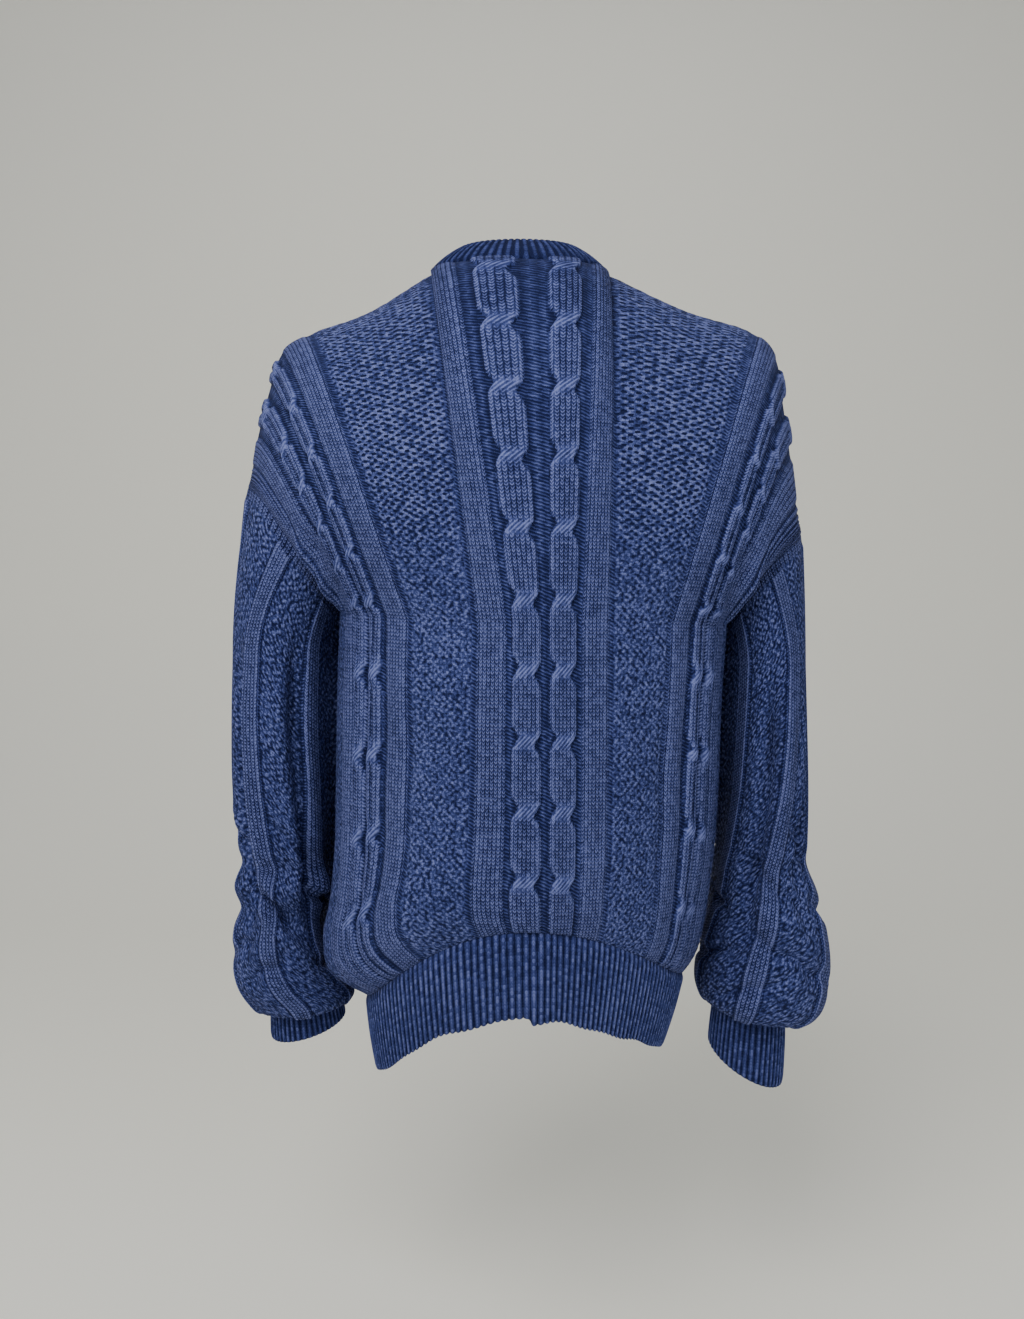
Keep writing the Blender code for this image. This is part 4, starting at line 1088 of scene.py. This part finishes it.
def makeNeckband():
    # from both necklines to an oval, whose level goes from the sides to the middle as a power of
    # the sine of the angle round
    back, front = panels["back"], panels["front"]
    inner = front["neck"][::-1][1:-1]
    points = np.vstack((back["base"][-1][back["neck"]], front["base"][-1][inner]))
    normals = np.vstack((back["normals"][-1][back["neck"]], front["normals"][-1][inner]))
    length = lengths(np.vstack((points, points[:1])))
    places = length[:-1] / length[-1]
    size = rib["neck"]
    at = ribPlaces(size)
    top = ringAt(places, points, at)
    away = top - (body["neckCentreX"], 0, 0)
    angle = np.arctan2(away[:, 1] / body["neckDepth"]["back"], away[:, 0] / body["neckHalfWidth"])
    behind = away[:, 1] < 0
    depth = np.where(behind, size["depth"]["back"], size["depth"]["front"])
    level = np.where(behind, size["level"]["back"], size["level"]["front"])
    side = size["level"]["side"]
    bottom = np.stack([body["neckCentreX"] + size["halfWidth"] * np.cos(angle),
                       depth * np.sin(angle),
                       side + (level - side) * np.abs(np.sin(angle)) ** 1.5], axis=1)
    return makeTubeRib("neck_ribbing", top, bottom, unit(ringAt(places, normals, at)), size, True,
                       size["bulge"], 0.6)


def makeHemRib(face):
    # from the panel's lower edge to half an oval, in straight rows that swell between
    size = rib["hem"]
    count = size["ribs"] * rib["columns"]
    flat = np.linspace(-body["halfWidth"], body["halfWidth"], count + 1)
    top, normals = (
        np.stack([np.interp(flat, flatPlaces, edge[:, k]) for k in range(3)], axis=1)
        for edge in (panels[face]["base"][0], panels[face]["normals"][0]))
    bottom = ovalRow(size["left"], size["right"], size[face], face, size["bottom"], flat)
    share = np.linspace(0, 1, size["rows"] + 1)[:, None, None]
    base = top + (bottom - top) * share
    # the open edge waves a little, each rib stands out at it, and the back's has a small step
    waves = np.sin(52 * flat + 1) + 0.6 * np.sin(117 * flat)
    edge = (size["wave"] * waves * np.cos(math.pi * flat / (2 * body["halfWidth"]))
            - size["scallop"] * np.abs(np.sin(math.pi * np.arange(count + 1) / rib["columns"])))
    if face == "back":
        step = size["step"]
        away = flat - step["x"]
        edge = edge - step["drop"] * np.tanh(away / step["width"]) * bell(away / step["reach"])
    base = base + np.stack([0 * edge, 0 * edge, edge], axis=1) * share
    way = unit(normals * (1, 1, 0))
    base = base + way * cloth["edgeSwell"] * np.sin(math.pi * share)
    relief, maps = ribMaps(base, 1.0, size["paintedShade"])
    relief[:, [0, -1]] = 0
    return buildWall(f"{face}_hem_ribbing", base, way, relief, 0.0, maps, ribKnit, face == "back")


neckBand = makeNeckband()
leftCuff, rightCuff = makeCuff("left", leftWrist), makeCuff("right", rightWrist)
backHem, frontHem = makeHemRib("back"), makeHemRib("front")
print("ribbing made")

# ---------- what each piece stands for, and the cut it was made from
bothPanels = ["back_panel", "front_panel"]
cuts = (
    # piece, node, slot, flat width and length, area of the cut if it is less, what it rests on
    (backPanel, "back", "patterned_knit", (0.50, 0.62), 0.265, ["wearer"]),
    (frontPanel, "front", "patterned_knit", (0.50, 0.60), 0.255, ["wearer"]),
    (leftSleeve, "sleeve_left", "patterned_knit", (0.34, 0.46), 0.150, bothPanels),
    (rightSleeve, "sleeve_right", "patterned_knit", (0.34, 0.46), 0.150, bothPanels),
    (neckBand, "neckband", "rib_knit", (0.46, 0.032), None, bothPanels),
    (backHem, "hem_rib_back", "rib_knit", (0.40, 0.075), None, ["back_panel"]),
    (frontHem, "hem_rib_front", "rib_knit", (0.40, 0.075), None, ["front_panel"]),
    (leftCuff, "cuff_left", "rib_knit", (0.19, 0.050), None, ["left_sleeve"]),
    (rightCuff, "cuff_right", "rib_knit", (0.19, 0.075), None, ["right_sleeve"]),
)
for piece, node, slot, flat, area, carrier in cuts:
    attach(piece, "root")
    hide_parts(node)
    worn = sum(face.area for face in piece.data.polygons) / 2
    print(piece.name, "cloth", round(worn, 4), "flat", round(area or flat[0] * flat[1], 4))

# ---------- studio
studio = {
    "floor": -1.02, "wallY": 2.2, "bend": 0.8, "front": -4.0, "halfWidth": 5.0, "top": 4.0,
    "colour": (1.0, 0.99, 0.91, 1.0), "roughness": 0.9,
    "world": (0.95, 0.97, 1.0, 1.0), "worldStrength": 0.32,
    "lights": (
        # name, place, what it points at, size, watts, colour
        ("window light", (-0.75, -1.6, 1.10), (0, 0, -0.3), 1.3, 42, (1.0, 0.98, 0.95)),
        ("fill light", (1.4, -1.8, 0.8), (0, 0, -0.35), 1.8, 11, (0.94, 0.97, 1.0)),
        ("top light", (0.0, 0.6, 2.2), (0, 0, -0.3), 2.0, 9, (1.0, 1.0, 1.0)),
    ),
}


def makeSweep():
    # floor and wall in one: a profile of floor, quarter circle and wall, drawn out sideways
    turn, bend = np.linspace(0, math.pi / 2, 25), studio["bend"]
    y = np.concatenate(([studio["front"]], studio["wallY"] - bend + bend * np.sin(turn),
                        [studio["wallY"]]))
    z = np.concatenate(([0], bend * (1 - np.cos(turn)), [studio["top"]])) + studio["floor"]
    x = np.array([-1, 1]) * studio["halfWidth"]
    grid = np.stack(np.broadcast_arrays(x[None, :], y[:, None], z[:, None]), axis=-1)
    cells = gridCells(len(y), 2, 0, False)[1]
    mesh = bpy.data.meshes.new("studio_sweep")
    mesh.from_pydata(grid.reshape(-1, 3).tolist(), [], cells.tolist())
    mesh.shade_smooth()
    material = bpy.data.materials.new("pale paper")
    material.use_nodes = True
    shader = material.node_tree.nodes["Principled BSDF"]
    shader.inputs["Base Color"].default_value = studio["colour"]
    shader.inputs["Roughness"].default_value = studio["roughness"]
    mesh.materials.append(material)
    sweep = bpy.data.objects.new("studio_sweep", mesh)
    bpy.context.scene.collection.objects.link(sweep)
    return sweep


def makeLight(name, place, aim, size, power, colour):
    # a square of light that looks from its place to its aim
    data = bpy.data.lights.new(name, "AREA")
    data.shape, data.size, data.energy, data.color = "SQUARE", size, power, colour
    light = bpy.data.objects.new(name, data)
    light.location = place
    light.rotation_euler = (Vector(aim) - Vector(place)).to_track_quat("-Z", "Y").to_euler()
    bpy.context.scene.collection.objects.link(light)


makeSweep()
for row in studio["lights"]:
    makeLight(*row)
world = bpy.data.worlds.new("soft room")
world.use_nodes = True
background = world.node_tree.nodes["Background"]
background.inputs["Color"].default_value = studio["world"]
background.inputs["Strength"].default_value = studio["worldStrength"]
bpy.context.scene.world = world

# ---------- camera
view = {"place": (-0.0166, -0.93, -0.308), "lens": 27.57, "sensor": 36.0, "shiftY": -0.030,
        "nearest": 0.05}
cameraData = bpy.data.cameras.new("photo camera")
cameraData.sensor_width = view["sensor"]
cameraData.lens = view["lens"]
cameraData.shift_y = view["shiftY"]
cameraData.clip_start = view["nearest"]
camera = bpy.data.objects.new("photo camera", cameraData)
camera.location = view["place"]
camera.rotation_euler = (math.pi / 2, 0, 0)
bpy.context.scene.collection.objects.link(camera)
bpy.context.scene.camera = camera
print("studio set")
